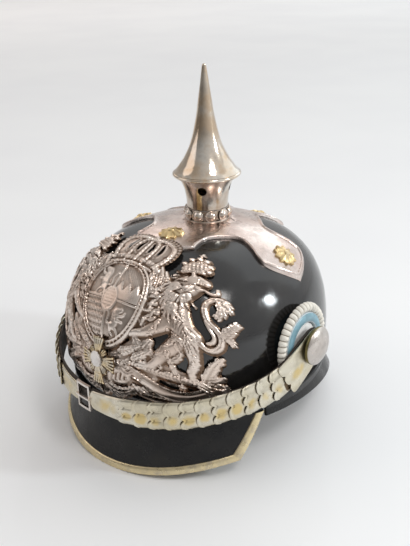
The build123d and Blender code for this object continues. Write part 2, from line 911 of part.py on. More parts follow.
def make_plate_nuts():
    nuts = []
    for side in (-1, 1):
        nut = extrude(RegularPolygon(plate_nut_radius, 6), -plate_nut_height)
        nut -= Cylinder(plate_post_radius + bearing_clearance, overrun)
        nuts.append(plate_post_plane(side) * Pos(0, 0, -skull_wall - stud_clearance) * nut)
    return nuts


def reserve_face():
    """Cross with arms that flare to straight ends, on a burst of four ray points."""
    end = cross_arm_width / 2
    waist = cross_waist / 2
    arm = Polyline(
        (-end, cross_half), (end, cross_half), (waist, waist), (-waist, waist), close=True
    )
    ray = Polyline(
        (0, cross_ray_half), (cross_ray_width / 2, waist), (-cross_ray_width / 2, waist), close=True
    )
    faces = []
    for i in range(4):
        faces.append(Rot(0, 0, 90 * i) * make_face(arm))
        faces.append(Rot(0, 0, 90 * i + 45) * make_face(ray))
    faces.append(Circle(cross_waist))
    return Pos(0, -cross_centre_drop) * (Sketch() + faces)


def reserve_seat():
    return plate_stand_off + shield_relief + shield_rim_rise + cross_air


def make_reserve_cross():
    return on_plate(reserve_face(), reserve_seat(), reserve_seat() + cross_sheet)


def make_cross_medallion():
    seat = reserve_seat() + cross_sheet + bearing_clearance
    return on_plate(Pos(0, -cross_centre_drop) * Circle(medal_radius), seat, seat + medal_rise)


def side_plane(side, reach):
    """Plane square to a side post, at a distance from the helmet's middle."""
    return Plane(origin=(side * reach, post_y, post_z), x_dir=(0, side, 0), z_dir=(side, 0, 0))


def side_nut_reach():
    """Outer face of the nut, clear of the skull where it draws in above the post."""
    top = post_z + post_nut_radius
    share = plan_share_at(top, -skull_wall)
    half_x = skull_width / 2 - skull_wall
    along = post_forward / (skull_length / 2 - skull_wall)
    return half_x * sqrt(share**2 - along**2) - stud_clearance


def boss_seat():
    return strap_half_x + strap_leather + root_plate_lift + scale_thickness + bearing_clearance


def make_side_posts():
    start = side_nut_reach() - post_nut_height - stud_tail
    end = boss_seat() + boss_height - boss_roof
    posts = []
    for side in (-1, 1):
        post = extrude(side_plane(side, start) * Circle(post_radius), end - start)
        posts.append(post)
    return posts


def make_side_nuts():
    nuts = []
    for side in (-1, 1):
        ring = RegularPolygon(post_nut_radius, 6) - Circle(post_radius + bearing_clearance)
        nuts.append(extrude(side_plane(side, side_nut_reach()) * ring, -post_nut_height))
    return nuts


def turned_ring(profile):
    """Ring or disc of the cockade, from half its section, about its own Z axis."""
    return revolve(Plane.XZ * make_face(Polyline(*profile, close=True)), Axis.Z)


def cockade_solids():
    hole = post_radius + stud_clearance
    rib_inner = cockade_radius - cockade_rib_width
    colour_inner = rib_inner - cockade_colour_width
    low = cockade_base + cockade_air
    rib_edge = cockade_base + cockade_scallop / 2
    rib_crest = (cockade_radius + rib_inner) / 2
    ring = turned_ring([
        (hole, 0), (cockade_radius, 0), (cockade_radius, rib_edge), (rib_crest, cockade_rib_rise),
        (rib_inner, cockade_rib_rise - cockade_scallop), (rib_inner, cockade_base), (hole, cockade_base),
    ])
    edge = []
    for i in range(2 * cockade_scallop_count):
        reach = cockade_radius - (cockade_scallop if i % 2 else 0)
        angle = pi * i / cockade_scallop_count
        edge.append((reach * cos(angle), reach * sin(angle)))
    ring &= extrude(make_face(Polyline(*edge, close=True)), cockade_rib_rise)
    outer = rib_inner - cockade_air
    crest = (outer + colour_inner) / 2
    shoulder = cockade_colour_rise - cockade_scallop
    colour = turned_ring([
        (colour_inner, low), (outer, low), (outer, shoulder - cockade_scallop),
        (crest, cockade_colour_rise), (colour_inner, shoulder),
    ])
    disc_edge = colour_inner - cockade_air
    disc = turned_ring([
        (hole, low), (disc_edge, low), (disc_edge, cockade_disc_rise),
        (disc_edge * 2 / 3, cockade_disc_rise - cockade_scallop / 2),
        (hole, cockade_disc_rise - cockade_scallop),
    ])
    return ring, colour, disc


def make_cockade(side, piece):
    seat = skull_width / 2 + cockade_back_gap
    return side_plane(side, seat) * cockade_solids()[piece]


strap_height_shares = (
    (0.15, 0.62),
    (0.2, 0.48),
    (0.3, 0.32),
    (0.41, 0.2),
    (0.54, 0.09),
    (0.65, 0.03),
    (0.8, 0.005),
    (1.0, 0.0),
)
strap_width_shares = (
    (0.0, 1.2),
    (0.2, 1.18),
    (0.3, 1.08),
    (0.42, 1.05),
    (0.54, 1.02),
    (0.8, 1.0),
    (1.0, 0.72),
)


def between(table, value):
    """Straight-line reading between the rows of a table."""
    for (x0, y0), (x1, y1) in zip(table, table[1:]):
        if value <= x1:
            return y0 + (y1 - y0) * (value - x0) / (x1 - x0)
    return table[-1][1]


@lru_cache(maxsize=None)
def strap_track():
    """Middle line of the band on the leather's outer face, from the post to the front.

    Each row holds the length so far, the share of a quarter turn, the point and the normal.
    """
    half_x = strap_half_x + strap_leather
    half_y = strap_half_y + strap_leather
    start = asin(post_forward / half_y) / (pi / 2)
    chart = Spline((start, 1), *strap_height_shares)
    rows = []
    length = 0
    for i in range(track_steps + 1):
        place = chart @ (i / track_steps)
        angle = place.X * pi / 2
        z = rim_height + strap_front_height + place.Y * (post_above_rim - strap_front_height)
        point = Vector(half_x * cos(angle), skull_y - half_y * sin(angle), z)
        normal = Vector(cos(angle) / half_x, -sin(angle) / half_y, 0).normalized()
        if rows:
            length += (point - rows[-1][2]).length
        rows.append((length, place.X, point, normal))
    return rows


def track_at(length):
    """Point, normal, direction and share of the turn at a length along the band."""
    rows = strap_track()
    for low, high in zip(rows, rows[1:]):
        if length <= high[0]:
            share = (length - low[0]) / (high[0] - low[0])
            point = low[2] + (high[2] - low[2]) * share
            return point, low[3], (high[2] - low[2]).normalized(), low[1] + (high[1] - low[1]) * share
    low, high = rows[-2:]
    return high[2], high[3], (high[2] - low[2]).normalized(), high[1]


def end_plate_start(near):
    """How far from the middle the long end plate begins, and where it ends."""
    if near:
        return end_plate_length - near_end
    return end_plate_length + near_end + buckle_length


def lobed_outline(length, root_width, width, lobes):
    """A scale, its root at X = 0 and its lobed free edge at X = length."""
    edge = length - lobe_depth
    step = width / lobes
    sides = [
        Line((0, root_width / 2), (edge, width / 2)),
        Line((0, root_width / 2), (0, -root_width / 2)),
        Line((0, -root_width / 2), (edge, -width / 2)),
    ]
    for i in range(lobes):
        low = -width / 2 + i * step
        sides.append(ThreePointArc((edge, low), (length, low + step / 2), (edge, low + step)))
    return make_face(sides)


def make_scales(side, count, near):
    """The lobed scales from the root plate to the end plate, each over the next one's root."""
    rows = strap_track()
    begin = root_plate_length - lobe_depth - scale_overlap
    finish_x = end_plate_start(near)
    finish = next(row[0] for row in rows if row[2].X < finish_x)
    pitch = (finish - begin) / count
    scales = []
    for i in range(count):
        here, out, _, turn = track_at(begin + i * pitch)
        there, out_there, _, _ = track_at(begin + (i + 1) * pitch)
        under = end_plate_thickness if i == count - 1 else scale_thickness
        root = here + out * scale_air
        rest = there + out_there * (2 * scale_air + under)
        along = (rest - root).normalized()
        plane = Plane(origin=root, x_dir=along, z_dir=out - along * out.dot(along))
        width = strap_width * between(strap_width_shares, turn)
        root_width = width - 2 * scale_root_cut
        outline = lobed_outline(pitch + scale_overlap + lobe_depth, root_width, width, 3 - i % 2)
        scales.append(extrude(plane * outline, scale_thickness))
    return scales if side > 0 else [mirror(scale_solid, about=Plane.YZ) for scale_solid in scales]


def strap_wall(inner, outer):
    """Upright oval wall between two distances from the leather's inner face."""
    ring = Ellipse(strap_half_x + outer, strap_half_y + outer)
    ring -= Ellipse(strap_half_x + inner, strap_half_y + inner)
    return extrude(Pos(0, skull_y, 0) * ring, crown_z)


def band_region():
    """Side view of the leather, from the pad at the post to the front."""
    upper = []
    lower = []
    length = strap_track()[-1][0]
    for i in range(1, band_steps + 1):
        point, _, along, turn = track_at(length * i / band_steps)
        half = strap_width * between(strap_width_shares, turn) / 2 - strap_inset
        rise = half / sqrt(1 - along.Z**2)
        upper.append((point.Y, point.Z + rise))
        lower.append((point.Y, point.Z - rise))
    front = [Line(upper[-1], lower[-1]), Line(upper[0], lower[0])]
    band = make_face([Spline(*upper), Spline(*lower)] + front)
    nose = Pos(upper[-1][0] - strap_leather, (upper[-1][1] + lower[-1][1]) / 2)
    band += nose * Rectangle(4 * strap_leather, upper[-1][1] - lower[-1][1])
    pad = Pos(post_y, post_z) * Circle(strap_pad_radius)
    first = Polyline(upper[0], lower[0], (post_y, post_z - strap_pad_radius * pad_share),
                     (post_y, post_z + strap_pad_radius * pad_share), close=True)
    return band + pad + make_face(first)


def make_strap_leather(side, end_x):
    """One leather: its band, and on the near half the narrow tongue through the buckle."""
    far = strap_half_x + overrun
    start = -end_x if side > 0 else end_x
    body = extrude(Pos(start, 0, 0) * (Plane.YZ * band_region()), far - start)
    if side > 0:
        reach = buckle_length - buckle_air
        middle = (strap_inset - reach) / 2 - near_end
        front = Pos(middle, skull_y - strap_half_y, rim_height + strap_front_height)
        body += front * Box(reach + strap_inset, 2 * overrun, tongue_width)
    strap = body & strap_wall(0, strap_leather)
    strap -= side_plane(1, strap_half_x) * Cylinder(post_radius + bearing_clearance, 2 * overrun)
    return strap if side > 0 else mirror(strap, about=Plane.YZ)


def make_root_plate(side):
    """Broad tapering plate below the rosette, round at the post, three-lobed at its free end."""
    fall = radians(root_plate_fall)
    view = Plane(origin=(0, post_y, post_z), x_dir=(0, -cos(fall), -sin(fall)), z_dir=(1, 0, 0))
    outline = lobed_outline(root_plate_length, 2 * strap_pad_radius, root_plate_width, 3)
    outline += Circle(strap_pad_radius)
    outline -= Circle(post_radius + bearing_clearance)
    low = strap_leather + root_plate_lift
    plate = extrude(view * outline, strap_half_x + overrun) & strap_wall(low, low + scale_thickness)
    plate = plate.solids()[0]
    return plate if side > 0 else mirror(plate, about=Plane.YZ)


def make_end_plate(side, near):
    """Long smooth plate from under the last scale to the end of its half."""
    start = end_plate_start(near)
    end = start - end_plate_length
    z = rim_height + strap_front_height
    wide = strap_width / 2 - scale_root_cut
    narrow = end_plate_width / 2
    round_off = narrow / 2
    face = make_face(
        Polyline(
            (start, z + wide),
            (end + round_off, z + narrow),
            (end, z + narrow - round_off),
            (end, z - narrow + round_off),
            (end + round_off, z - narrow),
            (start, z - wide),
            close=True,
        )
    )
    low = strap_leather + scale_air
    cut = extrude(Plane.XZ * face, strap_half_y + overrun * 3)
    plate = cut & strap_wall(low, low + end_plate_thickness)
    return plate if side > 0 else mirror(plate, about=Plane.YZ)


def make_boss(side):
    """Domed rosette boss, blind inside, that turns on the post."""
    crown = boss_height - boss_edge
    cap = boss_radius - boss_edge
    ball = (cap**2 + boss_edge**2) / (2 * boss_edge)
    outline = [
        Line((0, 0), (boss_radius, 0)),
        Line((boss_radius, 0), (boss_radius, crown - boss_edge)),
        ThreePointArc(
            (boss_radius, crown - boss_edge),
            (cap + boss_edge * cos(pi / 4), crown - boss_edge + boss_edge * sin(pi / 4)),
            (boss_radius - boss_edge, crown),
        ),
        ThreePointArc(
            (boss_radius - boss_edge, crown),
            (cap / 2, boss_height - ball + sqrt(ball**2 - cap**2 / 4)),
            (0, boss_height),
        ),
        Line((0, boss_height), (0, 0)),
    ]
    boss = revolve(Plane.XZ * make_face(outline), Axis.Z)
    depth = boss_height - boss_roof + bearing_clearance
    boss -= Pos(0, 0, depth / 2) * Cylinder(post_radius + bearing_clearance, depth)
    return side_plane(side, boss_seat()) * boss


def buckle_wall(rise, thickness):
    low = strap_leather + buckle_air + rise
    return strap_wall(low, low + thickness)


def make_chin_buckle():
    """Frame round the tongue, just past the near half's end."""
    z = rim_height + strap_front_height
    middle = -near_end - buckle_length / 2
    high = end_plate_width + 2 * (buckle_side_air + buckle_bar)
    hole = Rectangle(buckle_length - 2 * buckle_bar, high - 2 * buckle_bar)
    frame = Pos(middle, z) * (Rectangle(buckle_length - 2 * buckle_air, high) - hole)
    cut = extrude(Plane.XZ * frame, strap_half_y + overrun * 3)
    return cut & buckle_wall(0, buckle_bar)


def make_buckle_prong():
    z = rim_height + strap_front_height
    middle = -near_end - buckle_length / 2
    length = buckle_length
    bar = Pos(middle, z) * Rectangle(length, 2 * prong_radius)
    cut = extrude(Plane.XZ * bar, strap_half_y + overrun * 3)
    return cut & buckle_wall(buckle_bar + buckle_air, 2 * prong_radius)


def make_sweatband():
    """Leather band inside the rim, its upper edge cut into rounded tongues."""
    outer = rim_section(-skull_wall - liner_gap)
    inner = rim_section(-skull_wall - liner_gap - sweatband_thickness)
    band = extrude(Pos(0, 0, liner_gap) * (outer - inner), sweatband_height)
    half_x = skull_width / 2 - rim_inset - skull_wall
    half_y = half_x * skull_length / skull_width
    top = rim_height + liner_gap + sweatband_height
    for i in range(tongue_count):
        angle = 2 * pi * (i + tongue_turn_share) / tongue_count
        x = half_x * cos(angle)
        y = half_y * sin(angle)
        out = Vector(cos(angle) / half_x, sin(angle) / half_y, 0)
        notch = Plane(origin=(x, skull_y + y, top), x_dir=(0, 0, 1), z_dir=out)
        band -= notch * Cylinder(tongue_notch_radius, overrun)
    return band


def make_dome_lining():
    """Cloth dome sewn inside the sweatband, open at the crown with a corded hem."""
    inset = rim_inset * skull_length / skull_width
    drop = inset + skull_wall + liner_gap + sweatband_thickness + lining_air
    lining = layer(-drop - lining_thickness, -drop)
    floor = rim_height + liner_gap + sweatband_height - tongue_notch_radius - lining_overlap
    below = Pos(0, skull_y, floor - crown_z / 2) * Box(skull_width, skull_length, crown_z)
    hole = Pos(0, 0, crown_z) * Cylinder(lining_hole_radius, crown_z - widest_z)
    lining = lining - below - hole
    return lining


nodes = [
    ("skull_shell", make_skull),
    ("front_visor", make_front_visor),
    ("visor_trim", make_visor_trim),
    ("rear_visor", make_rear_visor),
    ("rear_spine", make_rear_spine),
    ("spine_studs", make_spine_studs),
    ("cross_base", make_cross_base),
    ("star_studs", make_star_studs),
    ("stud_nuts", make_stud_nuts),
    ("pearl_ring", make_pearl_ring),
    ("spike_neck", make_spike_neck),
    ("neck_socket", make_neck_socket),
    ("spike_cone", make_spike_cone),
    ("spike_plug", make_spike_plug),
    ("helmet_plate", make_helmet_plate),
    ("plate_posts", make_plate_posts),
    ("plate_nuts", make_plate_nuts),
    ("reserve_cross", make_reserve_cross),
    ("cross_medallion", make_cross_medallion),
    ("side_posts", make_side_posts),
    ("side_nuts", make_side_nuts),
    ("left_cockade_ring", lambda: make_cockade(1, 0)),
    ("left_cockade_colour", lambda: make_cockade(1, 1)),
    ("left_cockade_disc", lambda: make_cockade(1, 2)),
    ("right_cockade_ring", lambda: make_cockade(-1, 0)),
    ("right_cockade_colour", lambda: make_cockade(-1, 1)),
    ("right_cockade_disc", lambda: make_cockade(-1, 2)),
    ("left_strap_leather", lambda: make_strap_leather(1, near_end)),
    ("right_strap_leather", lambda: make_strap_leather(-1, near_end + buckle_length)),
    ("left_scales", lambda: make_scales(1, scale_count, True)),
    ("right_scales", lambda: make_scales(-1, far_scale_count, False)),
    ("left_root_plate", lambda: make_root_plate(1)),
    ("right_root_plate", lambda: make_root_plate(-1)),
    ("left_end_plate", lambda: make_end_plate(1, True)),
    ("right_end_plate", lambda: make_end_plate(-1, False)),
    ("left_boss", lambda: make_boss(1)),
    ("right_boss", lambda: make_boss(-1)),
    ("chin_buckle", make_chin_buckle),
    ("buckle_prong", make_buckle_prong),
    ("sweatband", make_sweatband),
    ("dome_lining", make_dome_lining),
]

if __name__ == "__main__":
    for node, maker in nodes:
        made = maker()
        save(node, *(made if isinstance(made, list) else [made]))
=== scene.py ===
# %% [markdown]
# A spiked parade helmet, dressed for the camera. The frame that is loaded here is the
# engineer's model: every solid at its real size and place. This notebook gives each piece
# its finish, and models again, in Blender's own way, the pieces whose beauty is in the
# surface. Lengths are in metres, the front is -Y, the wearer's left is +X.

# %% Load the frame
import json
import math
import bpy
import numpy as np
from mathutils import Matrix, Vector


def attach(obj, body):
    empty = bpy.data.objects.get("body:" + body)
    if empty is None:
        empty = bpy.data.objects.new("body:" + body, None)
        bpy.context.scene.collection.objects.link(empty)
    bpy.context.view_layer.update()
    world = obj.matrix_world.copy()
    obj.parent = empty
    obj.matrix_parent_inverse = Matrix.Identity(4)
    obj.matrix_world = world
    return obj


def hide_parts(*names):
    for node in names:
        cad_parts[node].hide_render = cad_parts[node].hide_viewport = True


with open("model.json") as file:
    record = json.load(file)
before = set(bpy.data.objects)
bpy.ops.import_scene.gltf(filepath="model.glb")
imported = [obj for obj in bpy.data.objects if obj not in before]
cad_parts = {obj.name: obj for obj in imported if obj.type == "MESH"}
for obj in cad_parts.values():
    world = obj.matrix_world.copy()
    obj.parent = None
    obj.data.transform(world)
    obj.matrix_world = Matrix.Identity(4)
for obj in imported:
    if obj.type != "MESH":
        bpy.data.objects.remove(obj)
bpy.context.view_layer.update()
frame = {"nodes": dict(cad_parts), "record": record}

nodes = frame["nodes"]
scene = bpy.context.scene
MM = 0.001

# %% [markdown]
# The camera stands where the photographer stood: in front, to the wearer's left and a
# little above. Its place was solved from the helmet's own landmarks, the spike's tip, the
# visor's corners and the studs, so it is given as a direction, a distance and a lens.

# %% Camera
turn, rise, roll = math.radians(39.42), math.radians(23.05), math.radians(-1.58)
back = Vector((math.sin(turn) * math.cos(rise), -math.cos(turn) * math.cos(rise), math.sin(rise)))
level = Vector((math.cos(turn), math.sin(turn), 0))
upward = back.cross(level)
right = math.cos(roll) * level + math.sin(roll) * upward
top = -math.sin(roll) * level + math.cos(roll) * upward
camera_data = bpy.data.cameras.new("camera")
camera_data.sensor_width = 36
camera_data.lens = 53.32
camera = bpy.data.objects.new("camera", camera_data)
scene.collection.objects.link(camera)
place = Matrix((right, top, back)).transposed().to_4x4()
place.translation = Vector((356.42, -438.70, 344.63)) * MM
camera.matrix_world = place
scene.camera = camera
scene.view_settings.view_transform = "Standard"
print("camera", [round(v, 3) for v in camera.location])

# %% [markdown]
# Black lacquer and silver are mirrors, so what they show is the room. A pale floor that
# runs far back and a sky that is bright behind the helmet and dimmer in front of it give
# them something calm to show, with a light side and a dark side. One small soft lamp puts
# the hard glint on the skull that says lacquer; two large ones keep the shadows soft.

# %% Floor and light
def soft_light(name, place, size, power, colour=(1, 1, 1), aim=(0, 0, 0.1), tall=1):
    data = bpy.data.lights.new(name, "AREA")
    data.shape, data.size, data.size_y = "RECTANGLE", size, size * tall
    data.energy, data.color = power, colour
    lamp = bpy.data.objects.new(name, data)
    scene.collection.objects.link(lamp)
    lamp.location = place
    lamp.rotation_euler = (Vector(aim) - Vector(place)).to_track_quat("-Z", "Y").to_euler()


bpy.ops.object.select_all(action="DESELECT")
bpy.ops.mesh.primitive_plane_add(size=12, location=(0, 0, 0))
floor = bpy.context.object
floor.name = "floor"
bpy.ops.object.transform_apply(location=True, rotation=True, scale=True)
soft_light("key_light", (0.75, -0.25, 1.15), 0.30, 3.2, (1, 0.97, 0.95))
soft_light("fill_light", (-1.3, -1.0, 1.0), 1.2, 3.8, (1, 0.88, 0.82))
soft_light("rim_light", (0.3, 1.4, 1.2), 1.8, 4.6, (0.90, 0.97, 1))
soft_light("backdrop_left", (-3.2, 2.0, 2.0), 2.0, 15, (1, 0.87, 0.80), aim=(-3.2, 2.0, 0))
soft_light("backdrop_right", (-1.0, 3.6, 2.0), 2.0, 19, (0.92, 0.98, 1), aim=(-1.0, 3.6, 0))
soft_light("glint_light", (1.062, 0.465, 0.592), 0.12, 5.0, (0.90, 0.97, 1),
           aim=(0.08, -0.035, 0.117), tall=1.7)
soft_light("crown_glint", (-0.367, 0.685, 1.014), 0.05, 0.4, aim=(0.037, -0.035, 0.144))

# %% [markdown]
# The sky runs from dim grey before the helmet to white behind it and above. It is a small
# tree of nodes, and a helper adds each node with its links and settings.

# %% Sky
def add(tree, kind, inputs=None, **options):
    node = tree.nodes.new(kind)
    for key, value in options.items():
        setattr(node, key, value)
    for key, value in (inputs or {}).items():
        if isinstance(value, bpy.types.NodeSocket):
            tree.links.new(value, node.inputs[key])
        else:
            node.inputs[key].default_value = value
    return node


world = bpy.data.worlds.new("studio")
scene.world = world
world.use_nodes = True
sky = world.node_tree
direction = add(sky, "ShaderNodeTexCoord").outputs["Generated"]
facing = add(sky, "ShaderNodeVectorMath", {0: direction, 1: (0.45, 0.75, 0.45)}, operation="DOT_PRODUCT")
shift = add(sky, "ShaderNodeMapRange", {"From Min": -1, "Value": facing.outputs["Value"]})
tones = add(sky, "ShaderNodeValToRGB", {"Fac": shift.outputs["Result"]})
dim, bright = tones.color_ramp.elements
dim.position, dim.color = 0.1, (0.24, 0.23, 0.22, 1)
bright.position, bright.color = 0.9, (1, 1, 1, 1)
sky.links.new(tones.outputs[0], sky.nodes["Background"].inputs["Color"])
sky.nodes["Background"].inputs["Strength"].default_value = 0.78
print("sky", [node.name for node in sky.nodes])

# %% [markdown]
# Each finish is a small tree of nodes. A few helpers keep them short: one starts a
# material, one reads a noise at the piece's own place, and one turns a grey value into a
# range of colours.

# %% Helpers for finishes
def new_finish(name, metallic=0.0, **sockets):
    finish = bpy.data.materials.new(name)
    finish.use_nodes = True
    shader = finish.node_tree.nodes["Principled BSDF"]
    shader.inputs["Metallic"].default_value = metallic
    for socket, value in sockets.items():
        shader.inputs[socket.replace("_", " ")].default_value = value
    return finish, finish.node_tree, shader


def speckle(tree, scale, detail=4.0):
    place = add(tree, "ShaderNodeTexCoord").outputs["Object"]
    return add(tree, "ShaderNodeTexNoise", {
        "Vector": place, "Scale": scale, "Detail": detail, "Roughness": 0.55}).outputs["Fac"]


def ramp(tree, value, low, high, start=0.35, end=0.65):
    """A grey value from start to end becomes a colour from low to high."""
    node = add(tree, "ShaderNodeValToRGB", {"Fac": value})
    for element, place, tone in zip(node.color_ramp.elements, (start, end), (low, high)):
        element.position = place
        element.color = (*tone, 1) if isinstance(tone, tuple) else (tone, tone, tone, 1)
    return node.outputs[0]


def blend_colour(tree, share, low, high):
    node = add(tree, "ShaderNodeMix", data_type="RGBA")
    for index, value in ((0, share), (6, low), (7, high)):
        if isinstance(value, bpy.types.NodeSocket):
            tree.links.new(value, node.inputs[index])
        else:
            node.inputs[index].default_value = value if index == 0 else (*value, 1)
    return node.outputs[2]


def read(tree, name):
    """A number that a piece's own points carry, such as how deep they lie in the relief."""
    return add(tree, "ShaderNodeAttribute", attribute_name=name).outputs["Fac"]


def emboss(tree, shader, height, strength, distance=0.0004):
    bump = add(tree, "ShaderNodeBump", {"Height": height, "Strength": strength, "Distance": distance})
    tree.links.new(bump.outputs[0], shader.inputs["Normal"])


def surface(tree, shader, tone, gloss_scale, gloss_detail, rough):
    """Links the colour, and a roughness that wanders between two values."""
    tree.links.new(tone, shader.inputs["Base Color"])
    wandering = ramp(tree, speckle(tree, gloss_scale, gloss_detail), *rough)
    tree.links.new(wandering, shader.inputs["Roughness"])


print("helpers ready")

# %% [markdown]
# The skull's leather was soaked, pressed on a form and then lacquered black. The lacquer
# is glossy but never flat: it keeps the hide's slow waves, fine crackle and dust. Two
# noises do that, a slow one for the waves and a fine one for the grain.

# %% Lacquered leather
def lacquer_finish(name, shine, rough, wavy):
    finish, tree, shader = new_finish(name, Specular_IOR_Level=shine)
    tone = ramp(tree, speckle(tree, 45), (0.006, 0.006, 0.007), (0.016, 0.015, 0.014))
    surface(tree, shader, tone, 70, 6, rough)
    waves = add(tree, "ShaderNodeMath", {0: speckle(tree, 30, 2), 1: speckle(tree, 700, 3)}, operation="ADD")
    emboss(tree, shader, waves.outputs[0], wavy, 0.0006)
    return finish


lacquer = lacquer_finish("black_lacquer", 0.78, (0.06, 0.18), 0.10)
visor_lacquer = lacquer_finish("visor_lacquer", 0.3, (0.2, 0.4), 0.2)
print("finishes", lacquer.name, visor_lacquer.name)

# %% [markdown]
# The fittings are silvered and have aged: warm pink and brown where the silver has gone
# thin, cool grey where it is sound, and dark brown where no cloth could reach. Where a
# piece has a relief, its points carry a number called depth, low in the hollows, and a
# dark colour follows it: on the plate and the cross it is tarnish with painted shade, on
# the scales and the pearl ring painted shade, and on the boss the brown of its side wall.
# Worn gilt on the scales works the same way.

# %% Silver and gilt
WORN_GILT = (0.68, 0.52, 0.22)


def silver_finish(name, warm, cool, rough=(0.2, 0.4), size=28, tarnish_and_shade=None, gilded=False):
    """Aged silver. With a colour for tarnish and painted shade, places of low depth darken; gilded leaves worn
    gilt.
    """
    finish, tree, shader = new_finish(name, 1.0)
    tone = ramp(tree, speckle(tree, size, 5), warm, cool, 0.38, 0.62)
    stains = ramp(tree, speckle(tree, 120, 6), 0.0, 0.7, 0.5, 0.78)
    tone = blend_colour(tree, stains, tone, tuple(0.6 * c for c in warm))
    if gilded:
        worn = add(tree, "ShaderNodeMath", {0: read(tree, "gilt"), 1: speckle(tree, 110)}, operation="MULTIPLY")
        tone = blend_colour(tree, ramp(tree, worn.outputs[0], 0.0, 0.85, 0.24, 0.5), tone, WORN_GILT)
    # Low depth turns the tone to that colour: tarnish with painted shade on the plate, painted shade alone on the
    # scales and pearl ring.
    if tarnish_and_shade:
        tone = blend_colour(tree, ramp(tree, read(tree, "depth"), 1.0, 0.0, 0.16, 0.6), tone, tarnish_and_shade)
    surface(tree, shader, tone, 90, 5, rough)
    emboss(tree, shader, speckle(tree, 420, 5), 0.12)
    return finish


silver = silver_finish("aged_silver", (0.74, 0.65, 0.58), (0.78, 0.75, 0.72))
base_silver = silver_finish("base_silver", (0.58, 0.46, 0.41), (0.70, 0.63, 0.59), (0.18, 0.36))
# Its hollows and low ground darken as tarnish with painted shade.
plate_silver = silver_finish("plate_silver", (0.74, 0.60, 0.51), (0.82, 0.73, 0.66), (0.22, 0.4),
                             tarnish_and_shade=(0.17, 0.11, 0.075))
spike_silver = silver_finish("spike_silver", (0.66, 0.52, 0.38), (0.84, 0.80, 0.73), (0.07, 0.18), 60)
neck_silver = silver_finish("neck_silver", (0.46, 0.36, 0.28), (0.74, 0.70, 0.64), (0.10, 0.22), 70)
# Its overlaps and creases darken as painted shade.
scale_silver = silver_finish("scale_silver", (0.63, 0.57, 0.43), (0.73, 0.69, 0.59), (0.22, 0.42),
                             tarnish_and_shade=(0.13, 0.09, 0.055), gilded=True)
boss_silver = silver_finish("boss_silver", (0.54, 0.49, 0.45), (0.66, 0.63, 0.60), tarnish_and_shade=(0.22, 0.19, 0.09))
# Its band and the inner halves of its beads darken as painted shade.
pearl_silver = silver_finish("pearl_silver", (0.64, 0.52, 0.43), (0.80, 0.74, 0.68), (0.12, 0.28), 90,
                             tarnish_and_shade=(0.06, 0.04, 0.03))


def gilt_finish(name, bright, dull, rubbed_from=0.52, cavity=False):
    finish, tree, shader = new_finish(name, 1.0)
    rubbed = ramp(tree, speckle(tree, 150, 5), 0.0, 1.0, rubbed_from, rubbed_from + 0.18)
    tone = blend_colour(tree, rubbed, bright, dull)
    # With cavity, the hollows turn dark brown by the depth number: tarnish with painted shade.
    if cavity:
        tone = blend_colour(tree, ramp(tree, read(tree, "depth"), 1.0, 0.0, 0.15, 0.6), tone, (0.16, 0.10, 0.05))
    surface(tree, shader, tone, 200, 4, (0.22, 0.42))
    emboss(tree, shader, speckle(tree, 600), 0.15)
    return finish


gilt = gilt_finish("gilt_brass", (0.80, 0.60, 0.28), (0.60, 0.49, 0.34))
star_gilt = gilt_finish("star_gilt", (0.78, 0.60, 0.32), (0.66, 0.54, 0.36))
cross_gilt = gilt_finish("cross_gilt", (0.76, 0.62, 0.40), (0.66, 0.60, 0.50), 0.42, cavity=True)
trim_gilt = gilt_finish("trim_brass", (0.76, 0.64, 0.40), (0.58, 0.50, 0.36), 0.48)
steel, tree, shader = new_finish("plain_steel", 1.0)
greys = ramp(tree, speckle(tree, 300), (0.42, 0.42, 0.42), (0.58, 0.58, 0.57))
surface(tree, shader, greys, 500, 4, (0.3, 0.5))
print("metals", silver.name, gilt.name, steel.name)

# %% [markdown]
# Paint is thin over its ground and worn darker in places. Leather and silk are mixed from
# two tones, with a fine grain. A table then says which finish each slot of the solids gets.

# %% Paints, leathers and cloth
def paint_finish(name, tone, rough=0.3, painted_light=None):
    finish, tree, shader = new_finish(name, Coat_Weight=0.2, Coat_Roughness=0.25)
    mixed = ramp(tree, speckle(tree, 180), tuple(c * 0.75 for c in tone), tone, 0.3, 0.55)
    # Low depth numbers take a second colour: painted shade on the ruff, a painted highlight on the blue ring.
    if painted_light:
        mixed = blend_colour(tree, ramp(tree, read(tree, "depth"), 1.0, 0.0, 0.1, 0.7), mixed, painted_light)
    surface(tree, shader, mixed, 260, 4, (rough, rough + 0.2))
    emboss(tree, shader, speckle(tree, 900), 0.15)
    return finish


# The ruff is painted dark between its ribs as shade; the blue ring pale at its edges as a highlight.
cream = paint_finish("cream_ribs", (0.78, 0.74, 0.66), 0.4, (0.17, 0.12, 0.07))
pale_blue = paint_finish("pale_blue_paint", (0.20, 0.36, 0.43), painted_light=(0.55, 0.62, 0.66))
green_dye = paint_finish("green_dyed_leather", (0.012, 0.042, 0.020), 0.6)
red_dye = paint_finish("red_dyed_leather", (0.16, 0.018, 0.012), 0.6)
white = paint_finish("white_paint", (0.84, 0.83, 0.80), 0.35)
black = paint_finish("black_paint", (0.02, 0.02, 0.02))
red = paint_finish("red_paint", (0.5, 0.03, 0.03))


def leather_finish(name, dark, light, rough=0.55):
    finish, tree, shader = new_finish(name)
    surface(tree, shader, ramp(tree, speckle(tree, 60, 5), dark, light), 150, 4, (rough, rough + 0.2))
    emboss(tree, shader, speckle(tree, 1100), 0.35, 0.0003)
    return finish


